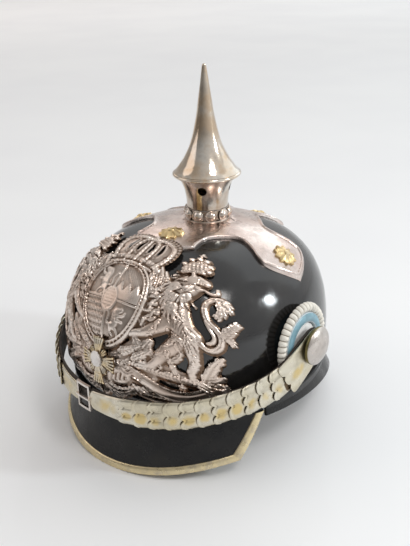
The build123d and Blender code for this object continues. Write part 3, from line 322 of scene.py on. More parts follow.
strap_leather = leather_finish("strap_leather", (0.02, 0.014, 0.01), (0.05, 0.035, 0.025))
liner_leather = leather_finish("liner_leather", (0.20, 0.11, 0.05), (0.34, 0.20, 0.10))
cloth = leather_finish("lining_silk", (0.40, 0.31, 0.19), (0.55, 0.44, 0.28), 0.6)
finish_of_slot = {
    "lacquered_leather": lacquer, "silver_metal": silver, "gilt_brass": gilt,
    "steel_fastener": steel, "cream_paint": cream, "pale_blue_paint": pale_blue,
    "white_paint": white, "black_paint": black, "red_paint": red,
    "strap_leather": strap_leather, "liner_leather": liner_leather, "lining_cloth": cloth,
}
floor_finish, tree, shader = new_finish("pale_floor", Roughness=0.7)
pale = ramp(tree, speckle(tree, 3, 2), (0.86, 0.865, 0.875), (0.89, 0.895, 0.90))
tree.links.new(pale, shader.inputs["Base Color"])
floor.data.materials.append(floor_finish)
print("slots", len(finish_of_slot))

# %% [markdown]
# Every piece rides on a body of the frame, so that it moves with its joint, and says which
# solid it stands for. One helper does that. Another makes a smooth copy of a solid whose
# shape is already right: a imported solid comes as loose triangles, which shade flat, so its
# copy is merged and shaded smooth up to the real edges.

# %% Dressing a piece
slot_of_node = {part["node"]: part["material_slot"] for part in frame["record"]["subparts"]}
body_of_node = {n: body for body, members in frame["record"]["behaviour"]["bodies"].items() for n in members}
made = {}


def only(piece):
    bpy.ops.object.select_all(action="DESELECT")
    piece.select_set(True)
    bpy.context.view_layer.objects.active = piece


def dress(piece, finish, node, *more):
    """Gives a piece its finish and the body of the node it stands for, hides that node and notes the piece as made
    for it.
    """
    piece.data.materials.clear()
    piece.data.materials.append(finish)
    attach(piece, body_of_node[node])
    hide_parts(node, *more)
    for name in (node, *more):
        made[name] = piece
    return piece


def smooth(piece, angle):
    only(piece)
    bpy.ops.object.shade_smooth_by_angle(angle=math.radians(angle))
    return piece


def edited(piece, *steps):
    """Takes steps in edit mode, each with the whole mesh selected."""
    only(piece)
    bpy.ops.object.mode_set(mode="EDIT")
    for step in steps:
        bpy.ops.mesh.select_all(action="SELECT")
        step()
    bpy.ops.object.mode_set(mode="OBJECT")
    return piece


def turn_out():
    bpy.ops.mesh.normals_make_consistent(inside=False)


def merged(piece, *steps, distance=0.003):
    return edited(piece, lambda: bpy.ops.mesh.remove_doubles(threshold=distance * MM), *steps)


def smooth_copy(node, angle=32):
    piece = bpy.data.objects.new(node + "_piece", nodes[node].data.copy())
    scene.collection.objects.link(piece)
    smooth(merged(piece, distance=0.005), angle)
    return dress(piece, finish_of_slot[slot_of_node[node]], node)


def size_of(piece):
    return [round(v / MM, 1) for v in piece.dimensions]


# %% [markdown]
# Everything on this helmet follows the skull, so the skull's own shape comes first, as
# numbers. Looked at from the side its outline is a short lower curve up to the widest
# place and a long upper one to the crown. Every height on it is a share of the widest
# plan, which is an oval. With that, a fitting can be drawn flat and laid on the dome.

# %% The dome in numbers
HALF_X, HALF_Y, MIDDLE_Y = 93.0, 101.0, -12.0
RIM_Z, WIDEST_Z, DOME_RISE, FULLNESS = 40.0, 70.0, 78.5, 0.71
turn_table = np.linspace(0, 1, 400)
left_over = 1 - turn_table
reach_table = left_over ** 3 + 3 * left_over ** 2 * turn_table + 3 * left_over * turn_table ** 2 * FULLNESS
climb_table = 3 * left_over ** 2 * turn_table * FULLNESS + 3 * left_over * turn_table ** 2 + turn_table ** 3


def dome_height(x, y, off):
    """Height of the face that lies off from the leather, above a point of the plan."""
    reach = np.hypot(x / (HALF_X + off), (y - MIDDLE_Y) / (HALF_Y + off))
    return WIDEST_Z + (DOME_RISE + off) * np.interp(reach, reach_table[::-1], climb_table[::-1])


def dome_share(z, off):
    """Share of the widest plan at a height, on the face that lies off from the leather."""
    upper = np.interp((z - WIDEST_Z) / (DOME_RISE + off), climb_table, reach_table)
    low = 1 - 4 * (1 - (z - RIM_Z) / (WIDEST_Z - RIM_Z)) ** 2 / (HALF_X + off)
    return np.where(z > WIDEST_Z, upper, low)


print("crown", float(dome_height(0, MIDDLE_Y, 0)), "rim share", float(dome_share(RIM_Z, 0)))

# %% [markdown]
# Most pieces are nets of points in rows, drawn in millimetres. A few helpers turn a net
# into a piece, give it a wall, round its edges and drill it. Points can carry numbers,
# such as how deep they lie, for a finish to read.

# %% Nets, walls and holes
def carry(piece, name, values):
    """Stores a number at each point of a piece."""
    numbers = piece.data.attributes.new(name, "FLOAT", "POINT")
    numbers.data.foreach_set("value", np.asarray(values, np.float32))


def new_piece(name, points, faces, edges=(), **numbers):
    mesh = bpy.data.meshes.new(name)
    mesh.from_pydata(np.asarray(points, float) * MM, edges, faces)
    piece = bpy.data.objects.new(name, mesh)
    scene.collection.objects.link(piece)
    for key, values in numbers.items():
        carry(piece, key, values)
    return piece


def grid_faces(count, columns, closed):
    """Faces of a net of points in rows, closed round the columns if asked."""
    faces = []
    for i in range(count // columns - 1):
        for j in range(columns if closed else columns - 1):
            k = (j + 1) % columns
            faces.append((i * columns + j, i * columns + k, (i + 1) * columns + k, (i + 1) * columns + j))
    return faces


def net_piece(name, points, columns, closed=False):
    """A piece from a net, merged and turned outwards."""
    return merged(new_piece(name, points, grid_faces(len(points), columns, closed)), turn_out)


def net_with(name, points, columns, closed=False, **numbers):
    """A net whose points carry numbers, so they aren't merged."""
    return edited(new_piece(name, points, grid_faces(len(points), columns, closed), **numbers), turn_out)


def finish_off(piece, name, kind, **settings):
    """Adds one modifier and applies it."""
    only(piece)
    modifier = piece.modifiers.new(name, kind)
    for key, value in settings.items():
        setattr(modifier, key, value)
    bpy.ops.object.modifier_apply(modifier=name)
    return piece


def wall(piece, thickness, offset=-1, even=True):
    return finish_off(piece, "wall", "SOLIDIFY", thickness=thickness * MM, offset=offset, use_even_offset=even)


def rounded(piece, width):
    return finish_off(piece, "edge", "BEVEL", width=width * MM, segments=2, limit_method="ANGLE",
                      angle_limit=math.radians(60))


def drilled(piece, radius, depth, place, vertices=48, rotation=(0, 0, 0)):
    """Drills a hole whose middle is at a place."""
    bpy.ops.object.select_all(action="DESELECT")
    bpy.ops.mesh.primitive_cylinder_add(vertices=vertices, radius=radius * MM, depth=depth * MM,
                                        location=[v * MM for v in place], rotation=rotation)
    drill = bpy.context.object
    finish_off(piece, "bore", "BOOLEAN", object=drill, operation="DIFFERENCE", solver="EXACT")
    bpy.data.objects.remove(drill)
    return piece


def clamped(value):
    return min(max(value, 0), 1)


print("helpers for nets ready")

# %% [markdown]
# The skull is turned like a bowl: half its outline is spun round the middle, and the
# round bowl is then stretched front to back, because a head is longer than it is wide.
# Solidify gives the leather its three millimetres, and a drill opens the crown below the
# hollow neck. A sculpted dome would show lumps in such a gloss; a spun one does not.

# %% Skull
def spun(name, outline, steps=96):
    """A line of points (radius, z) in millimetres, spun round the upright axis."""
    line = [(k, k + 1) for k in range(len(outline) - 1)]
    piece = new_piece(name, [(r, 0, z) for r, z in outline], [], line)
    edited(piece, lambda: bpy.ops.mesh.spin(steps=steps, angle=2 * math.pi, center=(0, 0, 0), axis=(0, 0, 1)))
    return merged(piece, turn_out)


SKULL_WALL, BORE_RADIUS, BORE_Z = 3.0, 11, (136, 160)
heights = np.concatenate([np.linspace(RIM_Z, WIDEST_Z, 12)[:-1],
                          WIDEST_Z + DOME_RISE * np.interp(np.linspace(0, 1, 60), turn_table, climb_table)])
outline = [(HALF_X * float(dome_share(z, 0)), z) for z in heights[:-1]] + [(0, heights[-1])]
skull = spun("skull_leather", outline, 144)
edited(skull, lambda: bpy.ops.transform.resize(value=(1, HALF_Y / HALF_X, 1), center_override=(0, 0, 0)),
       lambda: bpy.ops.transform.translate(value=(0, MIDDLE_Y * MM, 0)))
drilled(wall(skull, SKULL_WALL), BORE_RADIUS, BORE_Z[1] - BORE_Z[0], (0, 0, sum(BORE_Z) / 2))
dress(smooth(skull, 40), lacquer, "skull_shell")
print("skull faces", len(skull.data.polygons))

# %% [markdown]
# Both visors are flat leather that was pulled into a cone and sewn round the rim. From the
# side the front one is cut square with a straight side edge, and the neck guard runs in
# one long curve. Each is a net of points: one column for each step round the helmet, from
# the sewn root down to the cut edge. Cutting a full cone with planes would also do, but a
# net keeps its lines parallel to the edge, where the gloss would show any kink. The
# undersides are dyed, green in front and red behind, as a second finish on the inner faces.

# %% Visor net
FRONT_HEM, GUARD_HEM, GUARD_FLOOR = (105.0, 105.5), (101.0, 120.0), 1.25
LEATHER_FACE, VISOR_WALL, VISOR_ROUND, SEWN_TOP = 2.7, 2.6, 0.6, 47.0
SIDE_TOP, CORNER, FRONT_TIP, FRONT_BOW = (-50.0, 40.0), (-74.5, 13.0), (-120.1, 0.8), 1.2


def cone_half(z, hem, off):
    """Half width and half length of a visor's cone at a height."""
    down = (RIM_Z - z) / RIM_Z
    foot = HALF_X - 4 + off
    foot_y = foot * (HALF_Y + off) / (HALF_X + off)
    return foot + (hem[0] + off - foot) * down, foot_y + (hem[1] + off - foot_y) * down


def visor_point(turn, z, hem, off):
    """Point of a visor's face at a turn round the helmet and a height."""
    if z >= RIM_Z:
        share = float(dome_share(z, off))
        half = ((HALF_X + off) * share, (HALF_Y + off) * share)
    else:
        half = cone_half(z, hem, off)
    return half[0] * math.cos(turn), MIDDLE_Y + half[1] * math.sin(turn), z


def turn_of(y, z, hem, off):
    return math.asin(max(-1.0, min(1.0, (y - MIDDLE_Y) / cone_half(z, hem, off)[1])))


def front_line(inset):
    """Side view of the front visor's edge, drawn in: top of the side edge, corner, front."""
    run = math.hypot(SIDE_TOP[0] - CORNER[0], SIDE_TOP[1] - CORNER[1])
    steep, flat = (SIDE_TOP[1] - CORNER[1]) / run, (SIDE_TOP[0] - CORNER[0]) / run
    tilt = (CORNER[1] - FRONT_TIP[1]) / (CORNER[0] - FRONT_TIP[0])
    rise = inset * math.hypot(1, tilt)
    corner_y = CORNER[0] - (inset - rise * flat) / (steep - tilt * flat)
    corner_z = CORNER[1] + tilt * (corner_y - CORNER[0]) + rise
    return (SIDE_TOP[0] - inset / steep, SIDE_TOP[1]), (corner_y, corner_z), (FRONT_TIP[0], FRONT_TIP[1] + inset)


def visor_edge(inset, off):
    """Points of the front visor's edge from the left, past the corner, to the right."""
    side_top, corner, tip = front_line(inset)
    half = []
    for share in np.linspace(0, 1, 14)[:-1]:
        y = side_top[0] + share * (corner[0] - side_top[0])
        z = side_top[1] + share * (corner[1] - side_top[1])
        half.append((turn_of(y, z, FRONT_HEM, off), z))
    bend = turn_of(corner[0], corner[1], FRONT_HEM, off)
    for share in np.linspace(0, 1, 60):
        turn = bend + share * (-math.pi / 2 - bend)
        z = corner[1]
        for _ in range(30):
            y = MIDDLE_Y + cone_half(z, FRONT_HEM, off)[1] * math.sin(turn)
            way = clamped((corner[0] - y) / (corner[0] - tip[0]))
            z = corner[1] + way * (tip[1] - corner[1]) + 4 * way * (1 - way) * FRONT_BOW
        half.append((turn, z))
    return half + [(-math.pi - turn, z) for turn, z in half[-2::-1]]


def visor_net(name, edge, hem, node, dye):
    """A visor from its edge line, with a dyed underside."""
    points = []
    for share in (1.0, 0.75, 0.5, 0.25, 0.06):
        points += [visor_point(t, RIM_Z + share * (SEWN_TOP - RIM_Z), hem, LEATHER_FACE) for t, _ in edge]
    for share in np.linspace(0, 1, 16):
        points += [visor_point(t, RIM_Z - share * (RIM_Z - z), hem, LEATHER_FACE) for t, z in edge]
    piece = rounded(wall(net_piece(name, points, len(edge)), VISOR_WALL), VISOR_ROUND)
    dress(smooth(piece, 35), visor_lacquer, node)
    piece.data.materials.append(dye)
    for face in piece.data.polygons:
        outward = face.normal.x * face.center.x + face.normal.y * (face.center.y - MIDDLE_Y * MM)
        face.material_index = int(outward < -0.3 * math.hypot(face.center.x, face.center.y))
    return piece


peak = visor_net("front_visor_leather", visor_edge(0, LEATHER_FACE), FRONT_HEM, "front_visor", green_dye)
guard_side = np.array([(-50, 35.6), (-12, 34.6), (10, 33.0), (46, 27.0), (70, 20.4), (92, 11.0), (110.9, 0.0)]).T
guard_curve = np.poly1d(np.polyfit(guard_side[0], guard_side[1], 5))
guard_start = turn_of(-48.4, 36.0, GUARD_HEM, LEATHER_FACE)
guard_edge = []
for turn in np.linspace(guard_start, math.pi / 2, 90):
    z = 20.0
    for _ in range(60):
        y = MIDDLE_Y + cone_half(z, GUARD_HEM, LEATHER_FACE)[1] * math.sin(turn)
        z = 0.5 * z + 0.5 * max(float(guard_curve(y)), GUARD_FLOOR)
    guard_edge.append((turn, z))
guard_edge += [(math.pi - turn, z) for turn, z in guard_edge[-2::-1]]
guard = visor_net("neck_guard_leather", guard_edge, GUARD_HEM, "rear_visor", red_dye)
print("visor", size_of(peak), "guard", size_of(guard))

# %% [markdown]
# The trim is a thin brass channel, folded over the visor's edge and mitred at the two
# corners. Its section is drawn as pairs, how far in from the edge and how far out from the
# skull, and the same edge line is drawn once for each pair.

# %% Brass trim
TRIM_SECTION = [(4.2, 2.75), (4.2, 3.3), (3.9, 3.55), (2.2, 3.72), (0.4, 3.6), (-0.5, 3.2), (-0.8, 2.4),
                (-0.8, 0.2), (-0.5, -0.5), (0.4, -0.75), (4.0, -0.75), (4.2, -0.5), (4.2, 0.05)]
points = []
for inset, off in TRIM_SECTION:
    line = visor_edge(inset, off)
    points += [visor_point(t, z, FRONT_HEM, off) for t, z in line]
trim = net_piece("visor_brass_trim", points, len(line))
dress(smooth(trim, 50), trim_gilt, "visor_trim")
print("trim", size_of(trim))

# %% [markdown]
# The cross base is a pressed sheet with a rolled bead along its edge. Its plan is drawn
# once, with a growth that moves the whole line in, so that the same line gives the wall,
# the bead and the sheet inside it. Each line is then laid on the dome at its own height.

# %% Cross base
def curve(rows, steps=5):
    """Rows (x, s, radius), rounded into a smooth run by Catmull and Rom's rule."""
    rows = np.array(rows, float)
    if len(rows) < 3:
        return rows
    ends = np.vstack([2 * rows[0] - rows[1], rows, 2 * rows[-1] - rows[-2]])
    out = []
    for a, b, c, d in zip(ends, ends[1:], ends[2:], ends[3:]):
        for t in np.arange(steps) / steps:
            out.append(0.5 * (2 * b + (c - a) * t + (2 * a - 5 * b + 4 * c - d) * t ** 2
                              + (3 * b - 3 * c + d - a) * t ** 3))
    out.append(rows[-1])
    out = np.array(out)
    out[:, 2] = np.maximum(out[:, 2], rows[:, 2].min() * 0.8)
    return out


def bow(a, b, out):
    """A run of points from a towards b that bows away from the crown."""
    a, b = np.array(a, float), np.array(b, float)
    middle = (a + b) / 2
    away = middle / np.linalg.norm(middle) * out
    return [tuple((1 - t) * a + t * b + 4 * t * (1 - t) * away) for t in np.arange(18) / 18]


def hollow(points):
    return [tuple(p[:2]) for p in curve([(x, y, 1) for x, y in points], 12)][:-1]


ARM = [(81.5, 0, 1, 0), (77.6, 9.8, 0.9, 0.4), (72.2, 18.2, 0.7, 0.7), (66.2, 22.6, 0.2, 1), (60, 21.8, -0.2, 1),
       (53, 18.6, -0.4, 0.9), (45, 16.2, -0.1, 1), (38.5, 17.6, 0.3, 0.9), (32.8, 23, 0.6, 0.8)]
FRONT_ARM = [(27, -30.5, 0.9, -0.4), (25.2, -36, 1, -0.1), (25.6, -44, 1, 0), (26.6, -48, 0.9, -0.5)]
FRONT_END, FRONT_END_BOW = -61, 3


def base_line(growth):
    """The base's plan: the right half from the rear tip to the front tip, then its mirror."""
    arm = [(x + growth * out_x, y + growth * out_y) for x, y, out_x, out_y in ARM]
    front = [(x + growth * out_x, y + growth * out_y) for x, y, out_x, out_y in FRONT_ARM]
    half = hollow([(y, x) for x, y in arm] + arm[::-1])
    half += hollow([(x, -y) for x, y in arm] + front)
    end = (0, FRONT_END - growth)
    half += bow(front[-1], end, FRONT_END_BOW) + [end]
    return np.array(half + [(-x, y) for x, y in half[-2:0:-1]])


SEAT_RADIUS, SEAT_Z, SEAT_SLOPE = 18.6, 150.0, 1.2
BEAD = [(0, 0.2), (0, 1.5), (-0.12, 2.05), (-0.5, 2.45), (-1.0, 2.6), (-1.5, 2.5), (-2.0, 2.15), (-2.35, 1.7),
        (-2.8, 1.5)]
points = []
for growth, off in BEAD:
    line = base_line(growth)
    points += [(x, y, z) for (x, y), z in zip(line, dome_height(line[:, 0], line[:, 1], off))]
for k in np.linspace(1, 0.1, 30)[1:]:
    plan = line * k
    far = np.hypot(plan[:, 0], plan[:, 1])
    seat = SEAT_Z - np.maximum(far - SEAT_RADIUS, 0) * SEAT_SLOPE
    z = np.maximum(dome_height(plan[:, 0], plan[:, 1], off), seat)
    points += [(x, y, h) for (x, y), h in zip(plan, z)]
base = net_piece("cross_base_sheet", points, len(line), closed=True)
dress(smooth(base, 50), base_silver, "cross_base")
print("base", size_of(base))

# %% [markdown]
# The helmet plate is the pride of the piece: a sheet stamped over a steel die into a
# crowned oval shield between two lions, then pierced and chased by hand. Such a relief is
# a drawing with heights, so it is modelled as one. A fine net of points is folded down its
# middle, so that what is drawn on the right is mirrored on the left. Each stroke does what
# a die does: it swells the sheet, and widens the part of it that is kept. A second kind of
# stroke only raises or engraves what is already there, as the chaser's punch does.

# %% The drawing board and its strokes
def drawing_board(half_x, low_s, high_s, step):
    """The net's places, with the right half's mirrored ones, and an empty relief."""
    xs, ss = np.meshgrid(np.arange(-half_x, half_x + 0.1, step), np.arange(low_s, high_s, step))
    return xs, ss, np.abs(xs), {"height": np.zeros(xs.shape), "detail": np.zeros(xs.shape),
                                "edge": np.full(xs.shape, 99.0), "step": step}


def polar(middle, reach, turn):
    return middle[0] + reach * math.cos(turn), middle[1] + reach * math.sin(turn)


grid_x, grid_s, fold_x, relief = drawing_board(81, -66, 54.1, 0.5)


def measure(rows, xs, ss):
    """Distance past a stroke's edge, and share of its half width, at each point near it."""
    past, share = np.full(xs.shape, 99.0), np.full(xs.shape, 9.0)
    pad = rows[:, 2].max() + 3
    near = ((xs > rows[:, 0].min() - pad) & (xs < rows[:, 0].max() + pad)
            & (ss > rows[:, 1].min() - pad) & (ss < rows[:, 1].max() + pad))
    px, ps, best, best_share = xs[near], ss[near], past[near], share[near]
    for (x0, s0, r0), (x1, s1, r1) in zip(rows, rows[1:]):
        dx, ds = x1 - x0, s1 - s0
        t = np.clip(((px - x0) * dx + (ps - s0) * ds) / max(dx * dx + ds * ds, 1e-9), 0, 1)
        away = np.hypot(px - x0 - t * dx, ps - s0 - t * ds)
        radius = r0 + (r1 - r0) * t
        nearer = away - radius < best
        best = np.where(nearer, away - radius, best)
        best_share = np.where(nearer, away / radius, best_share)
    past[near], share[near] = best, best_share
    return past, share


def keep(past, margin):
    """Widens the cut-out to a stroke's edge and a margin."""
    if margin is not None:
        relief["edge"] = np.minimum(relief["edge"], past - margin)


def mass(rows, rise, roundness=2.0, flange=0.7):
    """A swelling of the sheet, as high as its rise, that also widens the cut-out."""
    past, share = measure(curve(rows), fold_x, grid_s)
    swell = rise * np.maximum(1 - share ** roundness, 0) ** 0.5
    relief["detail"] = np.where(swell > relief["height"], 0, relief["detail"])
    relief["height"] = np.maximum(relief["height"], swell)
    keep(past, flange)


def chase(rows, rise, roundness=2.0, widen=None):
    """A raised, or below zero an engraved, line that follows the form below it."""
    past, share = measure(curve(rows), fold_x, grid_s)
    relief["detail"] = relief["detail"] + rise * np.maximum(1 - share ** roundness, 0) ** 0.7
    keep(past, widen)


def dot(x, s, radius, rise, widen=None):
    chase([(x, s, radius), (x + 0.01, s, radius)], rise, widen=widen)


def pearls(rows, count, radius, rise, widen=0.2):
    path = curve(rows, 12)
    run = np.concatenate([[0], np.cumsum(np.hypot(*np.diff(path[:, :2], axis=0).T))])
    for far in np.linspace(0, run[-1], count):
        dot(np.interp(far, run, path[:, 0]), np.interp(far, run, path[:, 1]), radius, rise, widen)


def sheet(rows, rise):
    """Flat sheet left standing behind the ornament."""
    mass(rows, rise, roundness=10, flange=0.3)


def pierce(rows):
    """An opening, with a small raised lip round it."""
    past, share = measure(curve(rows), fold_x, grid_s)
    relief["edge"] = np.maximum(relief["edge"], -past)
    relief["detail"] = relief["detail"] + 0.7 * np.exp(-((past - 0.7) / 0.5) ** 2) * (relief["edge"] < 0)


rng = np.random.default_rng(7)


def lock(x, s, heading, size, radius, bend, rise, widen=None):
    """One flame of hair: it leaves its root, swings by the bend and ends in a point."""
    rows = []
    for share, thick in zip((0, 0.35, 0.7, 1), (1, 1.05, 0.7, 0.25)):
        rows.append((x, s, radius * thick))
        x, s = polar((x, s), size / 3, math.radians(heading + bend * math.sin(share * math.pi)))
        heading += bend * 0.25
    past, share = measure(curve(rows), fold_x, grid_s)
    ridge = rise * np.maximum(1 - share ** 2, 0) ** 0.6
    under = np.clip(relief["detail"], -0.6, 0.5)
    carved = np.where(share < 1.45, relief["detail"] - 0.35, relief["detail"])
    relief["detail"] = np.where(share < 1, ridge + under, carved)
    keep(past, widen)


def leaf(rows, lobes, size, rise=2.2, sides=(-1, 1), vein=-0.7):
    """Acanthus leaf: a stem with pointed lobes that lean forward, and engraved veins."""
    path = curve(rows, 8)
    for i in range(lobes):
        share = (i + 0.35) / lobes
        here = int(share * (len(path) - 2))
        spot, ahead = path[here], path[here + 1] - path[here]
        heading = math.degrees(math.atan2(ahead[1], ahead[0]))
        reach = size * (1 - 0.45 * share)
        for side in sides:
            middle = polar(spot, reach * 0.55, math.radians(heading + side * 48))
            tip = polar(middle, reach * 0.5, math.radians(heading + side * 13))
            mass([(*spot[:2], reach * 0.3), (*middle, reach * 0.26), (*tip, 0.35)], rise, flange=0.25)
            chase([(*spot[:2], 0.45), (*middle, 0.4), (*tip, 0.25)], vein)
    mass(rows, rise * 1.05, flange=0.3)
    chase([(x, s, max(r * 0.28, 0.35)) for x, s, r in rows], vein)


def floret(x, s, size):
    """A flower of five petals with a bead in the middle."""
    for i in range(5):
        tip = polar((x, s), size * 0.62, 2 * math.pi * i / 5 + 0.3)
        mass([(x, s, size * 0.3), (*tip, size * 0.4)], 1.5, flange=0.2)
    dot(x, s, size * 0.3, 0.9)


print("net", grid_x.shape)

# %% [markdown]
# Drawn from the back forwards: first the bare motto ribbon, the strip of ground that the
# lions stand on, its grass and flowers, and the leaf sprays beside the shield.

# %% Ribbon, ground and leaves
RIBBON = [(23, -42.5, 3.6), (32, -44.6, 3.6), (42, -46.6, 3.4), (50, -46.4, 3.2), (59, -43.2, 3.0),
          (67, -37.2, 2.9), (73, -30.5, 2.6)]
sheet([(23, -50, 4.4), (32, -51, 4.2), (41, -50.8, 3.6), (49, -48.4, 2.8)], 0.9)
for i in range(10):
    lock(25 + i * 2.8, -50.4 + 0.04 * (i - 2) ** 2, -66 + i * 7, 4.0, 1.1, 26, 1.2, widen=0.2)
mass(RIBBON, 2.0, roundness=8)
for side in (-1, 1):
    chase([(x + side * lean, s + 2.6 * side * (1 - 0.2 * abs(lean)), 0.65)
           for (x, s, _), lean in zip(RIBBON, (0, 0, 0, 0, -0.9, -1.4, -1.8))], 1.2)
sheet([(21, -39, 5), (30, -40.5, 3.4), (38, -41, 2.4)], 1.4)
chase([(x, s - 1.6, 2.2) for x, s, _ in RIBBON[1:]], 1.5, roundness=1.2)
chase([(21.5, -38, 0.8), (22.2, -43, 0.8), (21.2, -48.5, 0.8)], 1.6)
mass([(22, -38, 3.2), (30, -37.5, 3.0), (45, -36.4, 2.9), (60, -34, 2.9), (69, -33, 3)], 2.2)
for i in range(22):
    x = 23 + i * 2.1
    lock(x, -38.8 + (x - 23) * 0.1, 78 + rng.normal(0, 16), 3.4, 0.8, rng.normal(0, 18), 0.8, widen=0.1)
for x, s in ((66, -34.5), (70.5, -32.5), (74.5, -29.5), (69, -36.5), (27, -41.2), (38, -41.6), (54, -40)):
    floret(x, s, 2.6)
leaf([(65.6, -33, 3.0), (67.4, -26, 3.4), (69.4, -19.6, 2.6), (72.6, -13, 0.8)], 4, 5.4)
leaf([(66.4, -30, 2.4), (70.6, -27, 1.9), (73.8, -23.6, 0.6)], 2, 3.6, sides=(-1,))
leaf([(68, -32, 1.9), (72, -31, 1.5), (75, -29, 0.7)], 2, 3.2, sides=(1,))
sheet([(29, 13, 3.5), (29, 5, 5.5), (29.5, -6, 5.5), (28, -18, 5.5), (25, -28, 5.0), (22, -34, 4.0)], 1.3)
sheet([(32, -25, 4.0), (36, -30, 3.6), (45, -33, 2.6), (56, -32.6, 2.2)], 1.2)
sheet([(10, -37, 5), (17, -34, 5), (24, -29, 5)], 1.5)
for tip_x, tip_s, foot_x in ((17.5, 27.6, 26), (22.5, 28.4, 28.5), (27.5, 25.5, 31)):
    belly = ((tip_x + foot_x) / 2 + 1.2, (tip_s + 8) / 2 + 2)
    mass([(foot_x, 7, 1.3), (*belly, 2.3), (tip_x, tip_s, 0.35)], 2.4, flange=0.25)
    chase([(foot_x, 8, 0.4), (*belly, 0.5), (tip_x, tip_s - 1.5, 0.3)], -0.8)
SPRAYS = [([(27, -3, 2.4), (30, 3, 2.4), (31, 9, 0.9)], 3, 4.4),
          ([(34, -21, 2.4), (31, -27, 2.6), (26.5, -32, 1.0)], 3, 5.0),
          ([(42, -33, 1.8), (36, -27.5, 2.2), (31, -22, 0.8)], 3, 4.0),
          ([(52, -35, 1.6), (49, -30.5, 1.8), (46, -27, 0.7)], 3, 3.4),
          ([(25, -22, 2.8), (29, -28, 2.4), (33, -33, 1)], 3, 5.2),
          ([(24, -8, 2.6), (28, -12, 2.2), (32, -18, 0.9)], 3, 4.6),
          ([(9, -37.5, 2.2), (15, -35.4, 2.4), (21.5, -30.5, 0.8)], 4, 4.0),
          ([(12, -41, 2.0), (19, -38.6, 2.2), (26, -34.0, 0.8)], 4, 3.8),
          ([(48, -27, 2.0), (51.5, -23, 1.8), (53.5, -18.5, 0.8)], 3, 3.8)]
for spray in SPRAYS:
    leaf(*spray)
leaf([(15, -33.5, 1.8), (21, -31, 2.2), (28, -26.5, 0.8)], 5, 4.8, rise=3.0, vein=-1.0)
leaf([(25, -35, 1.8), (30, -31, 2.0), (36, -25.5, 0.7)], 4, 4.6, rise=3.0, vein=-1.0)

# %% [markdown]
# The tail is a doubled loop with tufts of leaves. The lion itself is built up as a
# sculptor does it: legs and body as smooth masses first, then claws, ribs and hair.

# %% Tail and legs
TAIL = [(55, -5, 2.4), (59, -8, 1.9), (64, -11.4, 1.7), (68, -10.8, 1.7), (70.8, -6.5, 1.7), (70.2, -1.2, 1.7),
        (66.6, 2.4, 1.7), (62, 5, 1.7), (58.4, 10, 1.7), (57.6, 15.6, 1.7), (60.4, 19.6, 1.8), (64, 20.4, 2.0)]
mass(TAIL, 2.4)
chase([(x, s, 0.45) for x, s, _ in TAIL[1:-1]], -0.9)
mass([(64.8, -8, 1.0), (67, -6, 1.2), (67, -2.4, 1.2), (64, 0.8, 1.2), (61, 4.4, 1.2)], 2.2, flange=0.2)
TUFTS = [([(62, 20.4, 1.8), (65.6, 17.4, 2.2), (66.6, 12.6, 1.9), (65, 9, 0.8)], 4, 5.6),
         ([(64, 20.6, 1.5), (68, 18.6, 1.4), (70.4, 15.0, 0.5)], 3, 4.2),
         ([(70.4, 1.0, 1.7), (72.6, 4, 2.3), (74, 7.6, 1.7), (75.6, 11.2, 0.5)], 4, 4.9),
         ([(72, 0.4, 1.4), (74.6, -0.8, 1.1), (76.2, -2.8, 0.4)], 3, 3.4)]
for spray in TUFTS:
    leaf(*spray)
mass([(54.4, -10, 6.4), (58.4, -17, 4.4), (60.2, -23, 3.1), (59.0, -29, 2.5), (59.8, -32.5, 2.3)], 3.0)
mass([(59.4, -32.5, 2.4), (62.4, -33, 2.2), (65.4, -33.5, 1.9)], 2.6)
mass([(53, -11, 6.0), (47, -20, 5.0), (42, -26.5, 4.1), (39.5, -31, 3.2), (36.5, -34.5, 2.8)], 3.0)
mass([(38, -34.5, 2.8), (34, -35.5, 2.6), (30, -36, 2.2)], 2.6)
for foot_x, foot_s, way in ((63.4, -34.0, 1), (33, -36.2, -1)):
    for i in (-1, 0, 1):
        mass([(foot_x + way * i * 0.4, foot_s + 1.6 * i, 1.2), (foot_x + way * 3.4, foot_s + 1.8 * i - 0.4, 1.0),
              (foot_x + way * 5.2, foot_s + 1.8 * i - 1.0, 0.35)], 3.0, flange=0.15)
for x, s in ((58.5, -14), (60.5, -19), (50, -16.5), (45, -23)):
    lock(x, s, -70, 5, 0.9, 22, 0.7)

# %% [markdown]
# The body lies over the hind legs, the forelegs reach for the shield, and each paw has
# three claws. Fringes of hair hang from the belly and from the raised leg.

# %% Body and forelegs
mass([(40, 9, 8.6), (45, 1, 8.0), (51, -6, 6.8), (56, -10, 6.9)], 3.5)
mass([(38, 9, 5.2), (30, 8.5, 4.0), (24, 11.5, 3.1), (20.5, 16.5, 2.8)], 2.9)
mass([(20.5, 16.5, 2.8), (20.5, 20.5, 2.8), (22.5, 23.5, 2.2)], 2.9)
mass([(42, -5, 5.4), (35.5, -11.5, 4.3), (29.5, -16.5, 3.3), (24, -19, 2.8)], 3.1)
mass([(25, -18.5, 2.8), (20.5, -20.5, 2.6), (17.5, -20.5, 2.0)], 3.0)
for (px, ps), way in (((21.5, 22), 100), ((20, -20.5), 190)):
    for i in (-1, 0, 1):
        turn = math.radians(way + i * 38)
        mass([(px, ps, 1.3), (*polar((px, ps), 2.4, turn), 1.1), (*polar((px, ps - 0.4), 4.4, turn), 0.35)], 3.3,
             flange=0.15)
for i in range(9):
    lock(43.5 + i * 1.15, -9.5 - i * 0.35, -84 + i * 4, 4.6, 0.85, rng.normal(0, 10), 0.9, widen=0.05)
for i in range(7):
    lock(26 + i * 1.6, 5.6 + (i % 2) * 0.3, -60 - i * 4, 3.6, 0.75, 12, 0.8, widen=0.05)
for x, s in ((56.5, -6.5), (58, -10.5), (53.5, -5.2)):
    lock(x, s, -35, 6, 1.1, -20, 0.8)
